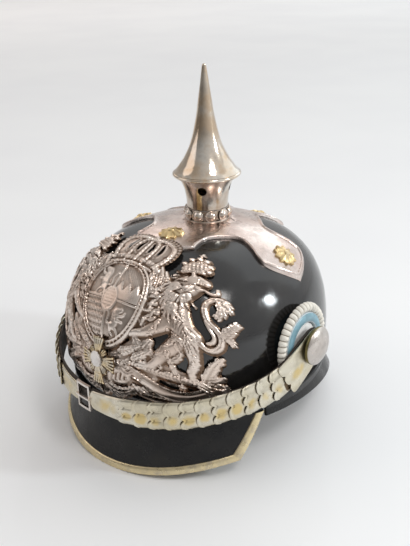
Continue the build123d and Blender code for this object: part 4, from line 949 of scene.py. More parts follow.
for i in range(5):
    chase([(47.5 + i * 1.9, 1.5 - i * 1.5, 0.5), (46 + i * 1.9, -3 - i * 1.2, 0.45),
           (46.4 + i * 1.7, -6.5 - i * 0.9, 0.3)], -0.55)

# %% [markdown]
# Short hair is strewn over each limb, along a line and with a heading of its own, so that
# no two locks lie quite alike.

# %% Hair
for start, end, heading, count in (
        ((54, -8), (60, -20), -70, 12), ((51, -12), (42, -26), -115, 12), ((38, 12), (26, 10), 195, 8),
        ((40, -8), (30, -16), -140, 8), ((44, 4), (55, -8), -50, 14), ((60, -22), (59.4, -31), -85, 6)):
    for i in range(count):
        share = (i + 0.5) / count
        x = start[0] + (end[0] - start[0]) * share + rng.normal(0, 2.0)
        s = start[1] + (end[1] - start[1]) * share + rng.normal(0, 1.6)
        lock(x, s, heading + rng.normal(0, 14), 4.4, 0.55, rng.normal(0, 26), 0.5)

# %% [markdown]
# The mane is built in tiers that overlap like tiles. Each tier is a fan of long locks,
# alternately near and far, and the last ones come to lie round the face.

# %% Mane
sheet([(33, 17, 3.6), (31.5, 8, 4.4), (32, -2, 4.6), (35, -9, 3.6)], 1.9)
for i in range(5):
    for j in range(3):
        lock(30.5 + j * 3.4 + rng.normal(0, 0.4), 15 - i * 5.2, 232 + rng.normal(0, 8), 8.5, 1.05,
             30 * (-1) ** (i + j), 1.25)
MANE_TIERS = [(45.5, 29.0, 125, 168, 8, 10.0), (42.5, 25.5, 150, 215, 9, 11.5), (41.5, 20.0, 190, 250, 9, 12.0),
              (42.0, 14.0, 215, 285, 9, 12.0), (43.5, 8.0, 232, 300, 8, 11.0), (47.0, 17.0, 255, 318, 7, 10.0)]
mass([(44.5, 22, 8.2), (41, 15, 8.6), (39, 7, 7.4)], 4.2)
for x, s, low, high, count, size in MANE_TIERS:
    for i in range(count):
        heading = low + (high - low) * i / (count - 1)
        root = polar((x, s), 1.0 + 1.2 * (i % 2), math.radians(heading))
        lock(*root, heading - 24, size + rng.normal(0, 0.8), 1.15, 44 if i % 2 else 22, 1.35, widen=0.0)

# %% [markdown]
# The head looks outwards, with an open mouth and a long tongue. Its crown is a cap with a
# band of pearls below, balls round it and a small cross on top.

# %% Head and its crown
mass([(45.5, 26, 5.6), (48.6, 25.8, 4.8)], 4.6)
mass([(48.6, 26.8, 3.4), (51.6, 27.4, 2.6), (53.2, 26.8, 1.9)], 4.7)
mass([(48.2, 23.2, 2.2), (50.8, 21.9, 1.6), (52.4, 22.4, 1.1)], 4.2)
chase([(48.9, 24.4, 0.5), (51.8, 24.7, 0.8), (54.8, 24.6, 0.9)], -3.2)
mass([(51, 24, 0.9), (54.6, 22.6, 1.0), (58, 22.2, 1.1), (60.6, 23.8, 1.2), (59.4, 26, 1.0)], 2.4, flange=0.3)
dot(48.6, 28.5, 1.0, 1.0)
dot(48.8, 28.3, 0.45, -1.6)
chase([(47.2, 30.2, 0.7), (50.8, 30.0, 0.6)], 1.0)
chase([(54.6, 28.2, 1.0), (54.9, 28, 0.9)], 0.9)
for i in range(3):
    chase([(49.5 + i * 1.5, 26.6, 0.3), (50.2 + i * 1.5, 25.6, 0.3)], -0.6)
mass([(44, 29.5, 1.6), (42.4, 31.8, 1.2), (42, 33, 0.5)], 5.0)
for i in range(4):
    lock(47.5 - i * 0.9, 22.5 - i * 0.4, -100 - i * 12, 6, 0.9, -20, 1.0)
BAND = [(36.2, 29.6, 1.7), (41.5, 32.2, 1.7), (47.6, 33.4, 1.6)]
mass([(37.4, 33.4, 4.4), (41.5, 36.4, 5.4), (45.6, 36.4, 3.6)], 3.5, roundness=4, flange=0.4)
for i in range(6):
    for j in range(5):
        dot(34.6 + i * 2.3 + (j % 2) * 1.15, 31.6 + j * 2.0 + i * 0.55, 1.0, 0.8, widen=-0.2)
for tip_x, tip_s in ((33.2, 35.6), (34.8, 40.0), (38.4, 42.4), (43.2, 42.2), (47.4, 39.2), (49.2, 35.6)):
    mass([(tip_x, tip_s, 2.0), (tip_x + 0.1, tip_s, 2.0)], 3.6, flange=0.4)
    dot(tip_x, tip_s, 1.0, 0.9)
mass(BAND, 4.4, flange=0.3)
pearls(BAND, 9, 0.8, 0.9)
mass([(38, 43.5, 0.8), (37.7, 46.6, 0.7)], 2.8, flange=0.1)
mass([(36.2, 45.2, 0.7), (39.4, 45.6, 0.7)], 2.8, flange=0.1)
print("strokes so far reach", round(float(relief["height"].max()), 1), "mm")

# %% [markdown]
# Below the shield a cartouche of acanthus closes the drawing. The shield is an oval dome
# with a doubled rim and a ring of beads. A cross of bars parts it into four fields: a
# raked one, one with lozenges, and two with a small rampant beast, all old heraldry. A
# little heart shield sits in the middle.

# %% Base and shield
mass([(0, -50, 9), (0, -57, 6.2)], 2.2, roundness=6)
sheet([(8, -46, 8), (15, -45.5, 8), (19, -42, 6)], 1.5)
for i in range(7):
    chase([(9.5 + i * 1.7, -52 + i * 0.5, 0.5), (10.5 + i * 1.8, -46, 0.6), (10.5 + i * 1.6, -39.5, 0.4)],
          0.8 * (-1) ** i)
leaf([(2, -55, 4.2), (10, -57.5, 3.6), (18, -56.5, 2.8), (25, -52.5, 1.2)], 5, 6.2)
leaf([(0, -52, 3.4), (0.6, -58, 3.0), (0, -63, 1.2)], 3, 5, sides=(-1,))
leaf([(14, -42, 3.2), (20, -45, 2.6), (25, -43, 1.4)], 3, 5)
mass([(9, -46, 3.5), (20, -42, 3.5), (23, -36, 3.2)], 2.0)
for i in range(6):
    lock(24 + i * 2.4, -51.5 + i * 0.7, -70 + i * 9, 4.2, 0.9, 24, 1.3, widen=0.3)

HEART_S = -4
half_turn = np.where(grid_s > 0, 25.5, 36.0)
power = np.where(grid_s > 0, 2.25, 2.0)
share = ((fold_x / 26.0) ** power + np.abs(grid_s / half_turn) ** power) ** (1 / power)
inside = share < 1
relief["edge"] = np.minimum(relief["edge"], (share - 1) * 28)
around = np.arctan2(grid_s, grid_x)


def ridge(low, high, sharp):
    """One on a ring of the shield between two shares, falling to nothing beside it."""
    return np.clip((1 - np.abs(share - (low + high) / 2) / ((high - low) / 2)) * sharp, 0, 1)


def wave(values, size):
    return np.abs(((values / size) % 1) * 2 - 1)


def checked(across, along, size):
    slope = grid_x * across, grid_s * along
    return (wave(slope[0] + slope[1], size) > 0.5) ^ (wave(slope[0] - slope[1], size) > 0.5)


shield = 2.9 * np.sqrt(np.clip(1 - share ** 2.6, 0, 1)) + 0.6
shield += 2.1 * ridge(0.93, 1.0, 2.2) + 1.5 * ridge(0.855, 0.905, 2)
shield += np.where((share > 0.90) & (share < 0.935), 0.9 * np.maximum(np.sin(around * 60), 0) ** 0.5, 0)
field = share < 0.84
shield += np.where(field & ((fold_x < 0.9) | (np.abs(grid_s - HEART_S) < 0.9)), 1.0, 0)
rake_field = field & (grid_x > 0.9) & (grid_s > -3)
raked = grid_s < 3.5 + 6.5 * wave(grid_x + 1.5, 6.2)
hatched = ~raked & (wave(grid_s + grid_x, 1.6) > 0.5)
shield += np.where(rake_field & raked, 0.9, 0) - np.where(rake_field & hatched, 0.25, 0)
lozenge = checked(0.9, 0.42, 3.1)
shield += np.where(field & (grid_x < -0.9) & (grid_s < -5) & lozenge, 0.6, 0)

BEAST = [((0.0, 0.30, 0.13), (0.16, 0.36, 0.07)), ((-0.05, 0.22, 0.13), (-0.02, -0.02, 0.15), (-0.10, -0.2, 0.13)),
         ((0.02, 0.14, 0.06), (0.24, 0.2, 0.04), (0.3, 0.3, 0.03)), ((0.04, 0.02, 0.06), (0.25, 0.0, 0.035)),
         ((-0.08, -0.2, 0.1), (0.08, -0.32, 0.05), (0.16, -0.46, 0.04)),
         ((-0.14, -0.2, 0.09), (-0.16, -0.4, 0.04), (-0.06, -0.48, 0.035)),
         ((-0.18, -0.16, 0.04), (-0.34, -0.1, 0.035), (-0.3, 0.12, 0.035), (-0.38, 0.28, 0.05))]
for x, s, size, way in ((-10.5, 7.5, 22, -1), (9.5, -16.5, 20, 1)):
    for rows in BEAST:
        points = [(x + way * size * a, s + size * b, size * r) for a, b, r in rows]
        part = measure(curve(points), grid_x, grid_s)[1]
        shield += 1.15 * np.sqrt(np.clip(1 - part ** 2, 0, 1))
heart = np.hypot(grid_x / 6.2, (grid_s - HEART_S) / 8.0)
shield = np.where(heart < 1, 4.2 + 0.5 * checked(1, 0.5, 2.3), shield)
shield = shield + np.where(np.abs(heart - 0.98) < 0.1, 1.0, 0)
relief["height"] = np.where(inside, shield, relief["height"])
relief["detail"] = np.where(inside, 0, relief["detail"])
print("shield stands", round(float(shield[inside].max()), 1), "mm proud")

# %% [markdown]
# The big crown is pierced: bare arches with pearls on them, a jewelled band below and an
# orb above. Only the strokes are kept of the sheet, so its openings come by themselves.

# %% Crown
for layer in ("height", "detail"):
    relief[layer] = np.where((grid_s > 27.5) & (fold_x < 23), 0, relief[layer])
sheet([(0, 31, 5), (9, 31, 5), (14.5, 32, 4.5)], 1.2)
sheet([(0, 40, 5.2), (10, 40, 5.6), (16.5, 39, 5.0)], 1.2)
for top_s, low_s, x in ((42.6, 34.6, 4.4), (42.8, 33.6, 12.4)):
    pierce([(x + 0.6, low_s, 1.0), (x + 0.9, (top_s + low_s) / 2, 1.25), (x - 0.5, top_s, 0.7)])
ARCHES = [[(17.0, 24.8, 1.7), (20.0, 30.5, 1.8), (21.8, 37.5, 1.8), (19.0, 43.6, 1.8), (11.5, 46.4, 1.7),
           (0, 46.0, 1.6)],
          [(7.4, 24.8, 1.5), (8.4, 33.5, 1.5), (8.2, 40.5, 1.5), (5.4, 44.8, 1.5), (0, 46.0, 1.5)],
          [(0, 24.5, 1.6), (0.01, 34, 1.6), (0, 46, 1.5)]]
for arch, count in zip(ARCHES, (15, 11, 9)):
    mass(arch, 2.3, flange=0.1)
    pearls(arch, count, 0.95, 0.9, widen=0.1)
RIM = [(18.6, 24.4, 1), (22.4, 30.5, 1), (24.4, 37.5, 1), (21.4, 45.4, 1), (12.4, 48.8, 1), (3.4, 48.2, 1)]
pearls(RIM, 17, 1.35, 1.5, widen=0.25)
mass([(0, 27.8, 2.8), (10, 27.3, 2.8), (16.8, 26.0, 2.6)], 1.7, roundness=6)
mass([(0, 23.8, 1.6), (10, 23.5, 1.6), (17.6, 22.0, 1.6)], 2.4, flange=0.3)
pearls([(0, 23.8, 1), (10, 23.5, 1), (17.6, 22.0, 1)], 12, 0.85, 0.7)
for x in (0, 6, 12):
    dot(x, 27.8, 1.5, 1.3)
    dot(x + 3.0, 27.4, 0.8, 1.0)
for x, s in ((4, 31.2), (12.4, 30.6), (19.4, 30.0)):
    leaf([(x, s - 1.0, 1.3), (x, s + 1.2, 1.0), (x, s + 3.0, 0.5)], 2, 2.4, rise=1.7)
mass([(0, 47.6, 2.2), (0, 47.9, 2.2)], 2.3, flange=0.2)
chase([(-2.2, 47.8, 0.45), (2.2, 47.8, 0.45)], 0.8)
print("crown done")

# %% [markdown]
# The drawing becomes a sheet. Tall places are pressed flatter, as the die does. The cut
# edge would be a staircase, so points next to it are slid onto it. Each point is then
# carried over the drawing board's leaning plane and back onto the dome, at its own height
# above the leather, and Solidify gives the thin sheet its wall. Each point also keeps how
# deep it lies among its neighbours, lower still on the low ground beside the forms, and the
# finish darkens it there, as tarnish and painted shade.

# %% From drawing to sheet
LEAN = math.radians(40)
STAMPED_SHEET, SOFT_ABOVE = 0.5, 3.2


def blurred(values, reach):
    kernel = np.exp(-0.5 * (np.arange(-3 * reach, 3 * reach + 1) / reach) ** 2)
    kernel /= kernel.sum()
    for axis in (0, 1):
        values = np.apply_along_axis(lambda line: np.convolve(line, kernel, mode="same"), axis, values)
    return values


def smoothstep(t):
    t = np.clip(t, 0, 1)
    return t * t * (3 - 2 * t)


def on_the_dome(xs, ss, off):
    """Places over the leaning board, as far off from the leather as asked."""
    board = np.stack([xs, ss * math.sin(LEAN), RIM_Z + ss * math.cos(LEAN)], axis=-1)
    outward = np.array([0, -math.cos(LEAN), math.sin(LEAN)])
    near, far = np.zeros(off.shape), np.full(off.shape, 150.0)
    for _ in range(26):
        half_way = (near + far) / 2
        spot = board + half_way[..., None] * outward
        reach = np.hypot(spot[..., 0] / (HALF_X + off), (spot[..., 1] - MIDDLE_Y) / (HALF_Y + off))
        within = (reach < dome_share(spot[..., 2], off)) & (spot[..., 2] < WIDEST_Z + DOME_RISE + off)
        near, far = np.where(within, half_way, near), np.where(within, far, half_way)
    return board + near[..., None] * outward


def stamped(name, proud, stand, reach=4):
    """Makes the sheet of the drawing that is on the board, and keeps its depth numbers."""
    edge = relief["edge"]
    kept = (edge < 0).astype(float)
    around_it = blurred(proud * kept, reach) / np.maximum(blurred(kept, reach), 0.05)
    # Depth number: low in hollows and on low ground, where the finish darkens as tarnish and painted shade.
    depth = np.clip(0.5 + (proud - around_it) / 1.6 - 0.35 * np.clip(1 - proud / 0.8, 0, 1), 0, 1)
    slope_s, slope_x = np.gradient(edge, relief["step"])
    steep = np.maximum(slope_x ** 2 + slope_s ** 2, 0.3)
    slide = np.where(np.abs(edge) < 0.62 * relief["step"], edge / steep, 0)
    net_x, net_s = grid_x - slide * slope_x, grid_s - slide * slope_s
    held = (edge < 0) | (slide != 0)
    spot = on_the_dome(net_x, net_s, stand(net_x, net_s, proud))
    number = np.cumsum(held.ravel()).reshape(held.shape) - 1
    corners = np.stack([held[:-1, :-1], held[:-1, 1:], held[1:, 1:], held[1:, :-1]], axis=-1)
    ids = np.stack([number[:-1, :-1], number[:-1, 1:], number[1:, 1:], number[1:, :-1]], axis=-1)
    faces = ids[corners.all(axis=-1)].tolist()
    for missing in range(4):
        three = [k for k in range(4) if k != missing]
        alone = corners[..., three].all(axis=-1) & ~corners[..., missing]
        faces += ids[alone][:, three].tolist()
    piece = new_piece(name, spot[held], faces, depth=depth[held])
    return wall(edited(piece, bpy.ops.mesh.delete_loose, turn_out), STAMPED_SHEET, even=False)


def plate_stand(xs, ss, proud):
    """Height above the leather: over the base's arm the plate steps up and is flatter."""
    over_arm = smoothstep((ss - 18) / 6) * smoothstep((34 - np.abs(xs)) / 7)
    lion_share = smoothstep((np.abs(xs) - 24) / 14)
    return 2.2 - 0.5 * lion_share + 1.3 * over_arm + proud * np.where(over_arm > 0.5, 0.62, 1.0 - 0.2 * lion_share)


def pressed(softly):
    """The drawing's two layers together: tall forms are pressed flatter, fine ones stay crisp."""
    height, detail = relief["height"], relief["detail"]
    form = np.where(height > SOFT_ABOVE, SOFT_ABOVE + 1 - np.exp(SOFT_ABOVE - height), height)
    return np.maximum(form + softly * np.tanh(detail / softly), 0)


plate = stamped("helmet_plate_relief", pressed(1.5), plate_stand)
dress(smooth(plate, 60), plate_silver, "helmet_plate")
print("plate faces", len(plate.data.polygons), "reach", size_of(plate))

# %% [markdown]
# The small cross on the shield's foot is a stamping of its own, in gilt: four arms of
# close rays with beaded ends, and short rays between them, all pierced. A fresh drawing
# board, finer and only as large as the cross, and the same strokes make it.

# %% Reserve cross
grid_x, grid_s, fold_x, relief = drawing_board(16, -60, -28, 0.25)
CROSS_MIDDLE, CROSS_SEAT = (0, -44.0), 7.1
mass([(*CROSS_MIDDLE, 5.4), (0.01, CROSS_MIDDLE[1], 5.4)], 1.2, roundness=8)
for arm in range(4):
    for far, lean in ((13.4, 0), (13.2, 8.5), (13.2, -8.5), (13.6, 17), (13.6, -17)):
        turn = math.radians(90 * arm + lean)
        root, waist, end = [polar(CROSS_MIDDLE, reach, turn) for reach in (3, 0.6 * far, far)]
        if end[0] > -0.5:
            mass([(*root, 0.75), (*waist, 0.85), (*end, 0.7)], 1.3, flange=0.05)
            dot(*end, 1.05, 0.7, widen=0.1)
    for far, lean in ((9.6, 45), (8.2, 36), (8.2, 54)):
        turn = math.radians(90 * arm + lean)
        if math.cos(turn) > 0:
            mass([(*polar(CROSS_MIDDLE, 3, turn), 0.8), (*polar(CROSS_MIDDLE, far, turn), 0.4)], 1.1, flange=0.05)
for k in range(24):
    turn = 2 * math.pi * (k + 0.5) / 24
    if math.cos(turn) > 0:
        dot(*polar(CROSS_MIDDLE, 8.9, turn), 0.75, 0.6, widen=0.2)


def cross_stand(xs, ss, proud):
    return CROSS_SEAT + 0.1 + np.minimum(0.7 * proud, 1.1)


cross = stamped("reserve_cross_relief", pressed(1.0), cross_stand, 6)
dress(smooth(cross, 60), cross_gilt, "reserve_cross")
print("cross faces", len(cross.data.polygons))

# %% [markdown]
# The chinscales hang from a post at each side and lie along the front of the helmet. The
# leather behind them runs in an oval round the skull, and sinks from the posts to the
# front. That line is drawn once, as places along it, and every scale, plate and strap is
# laid on it by its length along the line, how far out it lies and how far across.
# SINK and WIDTHS give the height and the width at shares of the way to the front.

# %% The line of the chinscales
STRAP_X, STRAP_Y, LEATHER = 101.5, 109.5, 1.6
POST_Y, POST_Z, FRONT_Z, STRAP_WIDTH = -18.5, 83.5, 52.5, 20.5
SINK = [(0.0377, 1.0, 1), (0.15, 0.62, 1), (0.2, 0.48, 1), (0.3, 0.32, 1), (0.41, 0.2, 1), (0.54, 0.09, 1),
        (0.65, 0.03, 1), (0.8, 0.005, 1), (1.0, 0.0, 1)]
WIDTHS = [(0.0, 1.2), (0.2, 1.18), (0.3, 1.08), (0.42, 1.05), (0.54, 1.02), (0.8, 1.0), (1.0, 0.72)]
sink = curve(SINK, 20)
quarter = sink[:, 0] * math.pi / 2
track = np.stack([(STRAP_X + LEATHER) * np.cos(quarter), MIDDLE_Y - (STRAP_Y + LEATHER) * np.sin(quarter),
                  FRONT_Z + sink[:, 1] * (POST_Z - FRONT_Z)], axis=1)
run = np.concatenate([[0], np.cumsum(np.linalg.norm(np.diff(track, axis=0), axis=1))])


def on_track(length):
    return np.array([np.interp(length, run, column) for column in track.T])


def along_track(length, out, across, side):
    """A point of the chinscales: length along the line, out from the leather, and across."""
    here = on_track(length)
    along = on_track(length + 0.5) - on_track(length - 0.5)
    along = along / max(np.linalg.norm(along), 1e-9)
    normal = np.array([here[0] / (STRAP_X + LEATHER) ** 2, (here[1] - MIDDLE_Y) / (STRAP_Y + LEATHER) ** 2, 0])
    normal /= np.linalg.norm(normal)
    down = np.cross(normal, along)
    spot = here + out * normal + across * down / np.linalg.norm(down)
    return spot[0] * side, spot[1], spot[2]


def band_width(length):
    share = np.interp(length, run, sink[:, 0])
    return STRAP_WIDTH * np.interp(share, *zip(*WIDTHS))


def joined(name, pieces):
    bpy.ops.object.select_all(action="DESELECT")
    for piece in pieces:
        piece.select_set(True)
    bpy.context.view_layer.objects.active = pieces[0]
    bpy.ops.object.join()
    pieces[0].name = name
    return pieces[0]


print("line of the chinscales", round(float(run[-1]), 1), "mm")

# %% [markdown]
# Each scale is a thin stamping with two or three shell-like lobes at its free edge, a
# raised rim along them and a hollow behind the rim. It lies over the root of the next
# one, so the root is flat. Painted shade darkens each scale where the scale before it
# lies over it and just past that scale's edge, in the hollow behind the rim, between the
# lobes and at the free edge, and rubbed gilding is left in the middle of some lobes; both
# are numbers that the points carry. A scale, like the plates after it, is a rule: for a
# share of its length and a share of its width it tells the place of a point, its depth
# number for the painted shade and how gilded it is. The first scale starts at ROW_START
# along the line, and the rows end at two distances from the middle of the helmet,
# because the buckle sits to one side.

# %% One scale
LOBE, OVERLAP, SCALE_SHEET, SCALE_AIR = 3.2, 4.0, 0.7, 0.15
ROW_START, LEFT_END, RIGHT_END = 33.0, 26.0, 52.0


def bump(value, middle, width):
    """One at the middle, falling smoothly to nothing beside it."""
    return math.exp(-((value - middle) / width) ** 2)


def lobe_phase(share, lobes):
    """From -1 to 1 across each lobe."""
    return ((share + 1) / 2 * lobes) % 1 * 2 - 1


def free_edge(share, lobes, length):
    """How far a scale reaches at a share of its width, from its lobes."""
    return length - LOBE + LOBE * (1 - abs(lobe_phase(share, lobes)) ** 2.4) ** 0.55


def side_fall(share, start, depth):
    """How far the rolled side edges drop, past a share of the half width."""
    return depth * max(abs(share) - start, 0) / (1 - start)


def thin_plate(name, rows, columns, rule, thickness=SCALE_SHEET):
    """A plate whose points, depth and gilding follow a rule."""
    found = [rule(i / (rows - 1), (j / (columns - 1)) * 2 - 1) for i in range(rows) for j in range(columns)]
    points, deep, gilded = zip(*found)
    return wall(net_with(name, points, columns, depth=deep, gilt=gilded), thickness, even=False)


def one_scale(name, begin, pitch, lobes, gold, side):
    length = pitch + OVERLAP + LOBE

    def rule(way, share):
        edge = free_edge(share, lobes, length)
        back = (1 - way ** 0.8) * edge
        u = edge - back
        wide = band_width(begin + u) / 2 - (1 - min(u / 12, 1))
        past = u - (free_edge(share, 5 - lobes, length) - pitch)
        phase = lobe_phase(share, lobes)
        shown = clamped((u - OVERLAP - 1) / 4)
        crown = shown * (0.75 * (1 - phase ** 2) - 0.15)
        rim = 0.32 * bump(back, 0.7, 0.55) - 0.2 * bump(back, 2.1, 0.6)
        out = (SCALE_AIR + SCALE_SHEET) * (1 + u / pitch) + crown + rim - side_fall(share, 0.88, 0.5)
        # Painted shade in the hollow behind the rim and between the lobes, and past the edge of the scale before.
        painted_light = 0.45 * bump(back, 2.1, 0.5) + 0.5 * bump(abs(phase), 1, 0.10)
        deep = clamped(past / 1.3) * (1 - painted_light * shown) * (0.2 + 0.8 * min(back / 0.25 + 0.6, 1))
        spot = ((u - length + 5.5) / 3.6) ** 2 + ((share - 0.28) / 0.36) ** 2
        return along_track(begin + u, out, share * wide, side), deep, min(1.35 * gold * math.exp(-spot * 0.6), 1.3)

    return thin_plate(name, 26, 42, rule)


GOLD = (0.7, 0.55, 0.8, 1.0, 1.05, 0.75, 1.0, 0.7, 0.8, 1.1, 0.8)
for word, side, count, last_x in (("left", 1, 11, LEFT_END), ("right", -1, 9, RIGHT_END)):
    begin = ROW_START - LOBE - OVERLAP
    pitch = (float(np.interp(-last_x, -track[:, 0], run)) - begin) / count
    scales = [one_scale(f"{word}_scale_{i}", begin + i * pitch, pitch, 3 - i % 2, GOLD[i], side)
              for i in range(count)]
    chain = joined(word + "_scale_row", scales[::-1])
    dress(smooth(chain, 50), scale_silver, word + "_scales")
print("pitch of the last row", round(pitch, 2), "mm")

# %% [markdown]
# Below each boss a long root plate carries the first scale, and at the front a plain long
# plate ends each half. Both are nets too. The root plate's outline is drawn in the side
# view and then laid on the oval wall; the end plate follows the front of the oval.

# %% Root plates and end plates
def root_plate(word, side):
    fall, length, root, wide = math.radians(33), 33.0, 12.4, 13.8

    def rule(way, share):
        edge = free_edge(share, 3, length)
        u = -root * 0.985 + (edge + root * 0.985) * way
        half = math.sqrt(root ** 2 - u ** 2) if u < 0 else root + (wide - root) * min(u / (length - LOBE), 1)
        v, back = share * half, edge - u
        y = POST_Y - u * math.cos(fall) + v * math.sin(fall)
        z = POST_Z - u * math.sin(fall) - v * math.cos(fall)
        phase = lobe_phase(share, 3)
        shown = clamped((u - 14) / 12)
        lift = shown * 0.5 * (1 - phase ** 2) + 0.3 * bump(back, 0.7, 0.5)
        out = LEATHER + 1.9 + SCALE_SHEET + lift - side_fall(share, 0.9, 0.4)
        x = (STRAP_X + out) * math.sqrt(1 - ((y - MIDDLE_Y) / (STRAP_Y + out)) ** 2)
        # Painted shade between the lobes.
        deep = 1 - 0.5 * shown * bump(abs(phase), 1, 0.08)
        return (x * side, y, z), deep, 1.1 * bump(u, 22, 8) * bump(share, 0.1, 0.4)

    dress(smooth(thin_plate(word + "_root", 34, 36, rule), 50), scale_silver, word + "_root_plate")


def end_plate(word, side, start):
    length, wide, narrow, corner = 32.0, 9.25, 7.25, 3.6

    def rule(way, share):
        u = length * way ** 0.9
        left = length - u
        half = wide + (narrow - wide) * u / (length - corner)
        if left <= corner:
            half = narrow - corner + math.sqrt(max(corner ** 2 - (corner - left) ** 2, 0))
        inward = half * (1 - abs(share))
        out = LEATHER + SCALE_AIR + 1.0 + 0.25 * (1 - share ** 2) + 0.25 * bump(inward, 1.0, 0.5)
        out -= side_fall(share, 0.92, 0.5)
        x = start - u
        y = MIDDLE_Y - (STRAP_Y + out) * math.sqrt(1 - (x / (STRAP_X + out)) ** 2)
        # Painted shade at its start, next to the last scale, and along a line inside its edge.
        deep = clamped((u - 3.2) / 2) * (1 - 0.4 * bump(inward, 1.9, 0.4))
        return (x * side, y, FRONT_Z - share * half), deep, 0.85 * bump(u, 17, 14) * bump(share, 0.1, 0.9)

    dress(smooth(thin_plate(word + "_end", 48, 22, rule, 1.0), 50), scale_silver, word + "_end_plate")


for word, side, start in (("left", 1, LEFT_END), ("right", -1, RIGHT_END)):
    root_plate(word, side)
    end_plate(word, side, start)
print("plates done")

# %% [markdown]
# Behind the scales runs a leather, thick enough to show its edge below them. Its solid
# already has the right shape, so it gets a smooth copy, with its edges rounded.

# %% Strap leathers
for word in ("left", "right"):
    strap = smooth(rounded(smooth_copy(word + "_strap_leather", 40), 0.3), 40)
print("strap faces", len(strap.data.polygons))

# %% [markdown]
# The boss that hides each post is a thick round button, turned on a lathe: its face is
# polished and its side wall is brown. The cockade below it is three turned rings. The
# outer one is gathered like a ruff, so its height follows a wave round the ring.

# %% Turned pieces at the sides
def turned(name, section, side, seat, waves=None, steps=120):
    """Spins a closed section, as (radius, height, depth number) rows, about the post's own line."""
    points, numbers = [], []
    for k in range(steps):
        turn = 2 * math.pi * k / steps
        for r, h, value in section:
            if waves:
                r, h, value = waves(turn, r, h, value)
            points.append((side * (seat + h), POST_Y + r * math.cos(turn), POST_Z + r * math.sin(turn)))
            numbers.append(value)
    count = len(section)
    corners = [(k, (k + 1) % steps, j, (j + 1) % count) for k in range(steps) for j in range(count)]
    faces = [(k * count + j, k * count + m, n * count + m, n * count + j) for k, n, j, m in corners]
    return edited(new_piece(name, points, faces, depth=numbers), turn_out)


# The fold also lowers the depth number between the ribs, where the cream is painted dark as shade.
def ruff(turn, r, h, value):
    fold = abs(math.cos(20 * turn)) ** 0.6
    drawn_in = 0.9 * (1 - fold) * clamped((r - 24) / 3)
    return r - drawn_in, h * (1 - 0.30 * (1 - fold) * clamped((r - 20.9) / 1.5)), fold * value + 0.1


# The third column is the depth number: lower at the ruff's foot for painted shade, zero at the blue ring's rounded
# edges for a painted highlight, low on the boss's brown side wall.
BOSS = [(0.01, 6.5, 1), (3, 6.4, 1), (6, 6.0, 1), (9, 5.2, 1), (11, 4.3, 0.9), (12.2, 3.6, 1), (13.0, 3.0, 1),
        (13.4, 2.5, 0.6), (13.5, 2.1, 0.1), (13.5, 0.8, 0.05), (13.3, 0.2, 0.05), (12.8, 0, 0.05), (2.3, 0, 0),
        (2.3, 0.6, 0), (0.01, 0.6, 0)]
RUFF = [(20.9, 0.0, 0.6), (20.9, 2.0, 0.6), (21.5, 3.6, 0.8), (22.8, 4.6, 1), (24.2, 4.9, 1), (25.6, 4.5, 1),
        (26.7, 3.3, 1), (27.4, 1.6, 1), (27.5, 0.7, 0.9), (27.2, 0.0, 0.6)]
COLOUR = [(14, 1.1, 1), (14, 4.2, 0), (14.6, 4.75, 0), (15.4, 5.0, 1), (17.2, 5.2, 1), (19.2, 4.8, 1),
          (20.2, 4.2, 1), (20.6, 3.8, 0), (20.85, 3.2, 0), (20.85, 1.1, 1)]
DISC = [(2.6, 1.1, 1), (2.6, 4.4, 1), (6, 4.35, 1), (10, 4.1, 1), (12.6, 3.6, 1), (13.6, 3.0, 1), (13.9, 2.2, 1),
        (13.9, 1.1, 1)]
RING_FINISH = {"left": (cream, pale_blue, white), "right": (black, white, red)}
COCKADE_SEAT, BOSS_SEAT = HALF_X + 0.3, 105.75
for word, side in (("left", 1), ("right", -1)):
    outer, coloured, disc = RING_FINISH[word]
    ring = turned(word + "_ruff", RUFF, side, COCKADE_SEAT, ruff, 480)
    dress(smooth(ring, 60), outer, word + "_cockade_ring")
    dress(smooth(turned(word + "_band", COLOUR, side, COCKADE_SEAT), 50), coloured, word + "_cockade_colour")
    dress(smooth(turned(word + "_middle", DISC, side, COCKADE_SEAT), 50), disc, word + "_cockade_disc")
    dress(smooth(turned(word + "_button", BOSS, side, BOSS_SEAT), 40), boss_silver, word + "_boss")
print("ruff faces", len(ring.data.polygons))

# %% [markdown]
# The spike unscrews: it was spun from sheet on a lathe, so a spun outline is exactly
# right for it, and for the flared neck below. The neck has four air holes, which are
# drilled through the finished tube.

# %% Spike and neck
NECK_Z, NECK_HEIGHT, COLLAR, SPIKE_FOOT, SPIKE_REACH = 150.0, 31.5, 9.0, 24.9, 74.3
NECK_FOOT, NECK_MOUTH, SPUN_SHEET, ROLL, TIP_RADIUS = 14.2, 20.2, 0.9, 1.3, 1.6
VENTS, VENT_RADIUS, VENT_Z, FIRST_VENT = 4, 3.3, NECK_Z + 23.6, -63
PROFILE = [(0, 0.97), (0.03, 0.88), (0.075, 0.78), (0.14, 0.65), (0.247, 0.49), (0.355, 0.385), (0.46, 0.31),
           (0.57, 0.25), (0.68, 0.20), (0.785, 0.155), (0.89, 0.11), (0.97, 0.075), (1.0, 0.064)]
spike_z = NECK_Z + NECK_HEIGHT + 0.1
flank = [p[:2] for p in curve([(SPIKE_FOOT * r, spike_z + 2 * ROLL + SPIKE_REACH * h, 1) for h, r in PROFILE], 10)]
rim = [polar((SPIKE_FOOT - ROLL, spike_z + ROLL), ROLL, a) for a in np.linspace(-math.pi / 2, math.pi / 2, 12)]
tip = [polar((0, flank[-1][1]), TIP_RADIUS, a) for a in np.linspace(0, math.pi / 2, 8)[1:]]
spike = spun("spike", [(20.0, spike_z + 1.0), (22.6, spike_z + 0.2)] + rim + flank[1:] + tip)
dress(smooth(wall(spike, SPUN_SHEET), 50), spike_silver, "spike_cone")

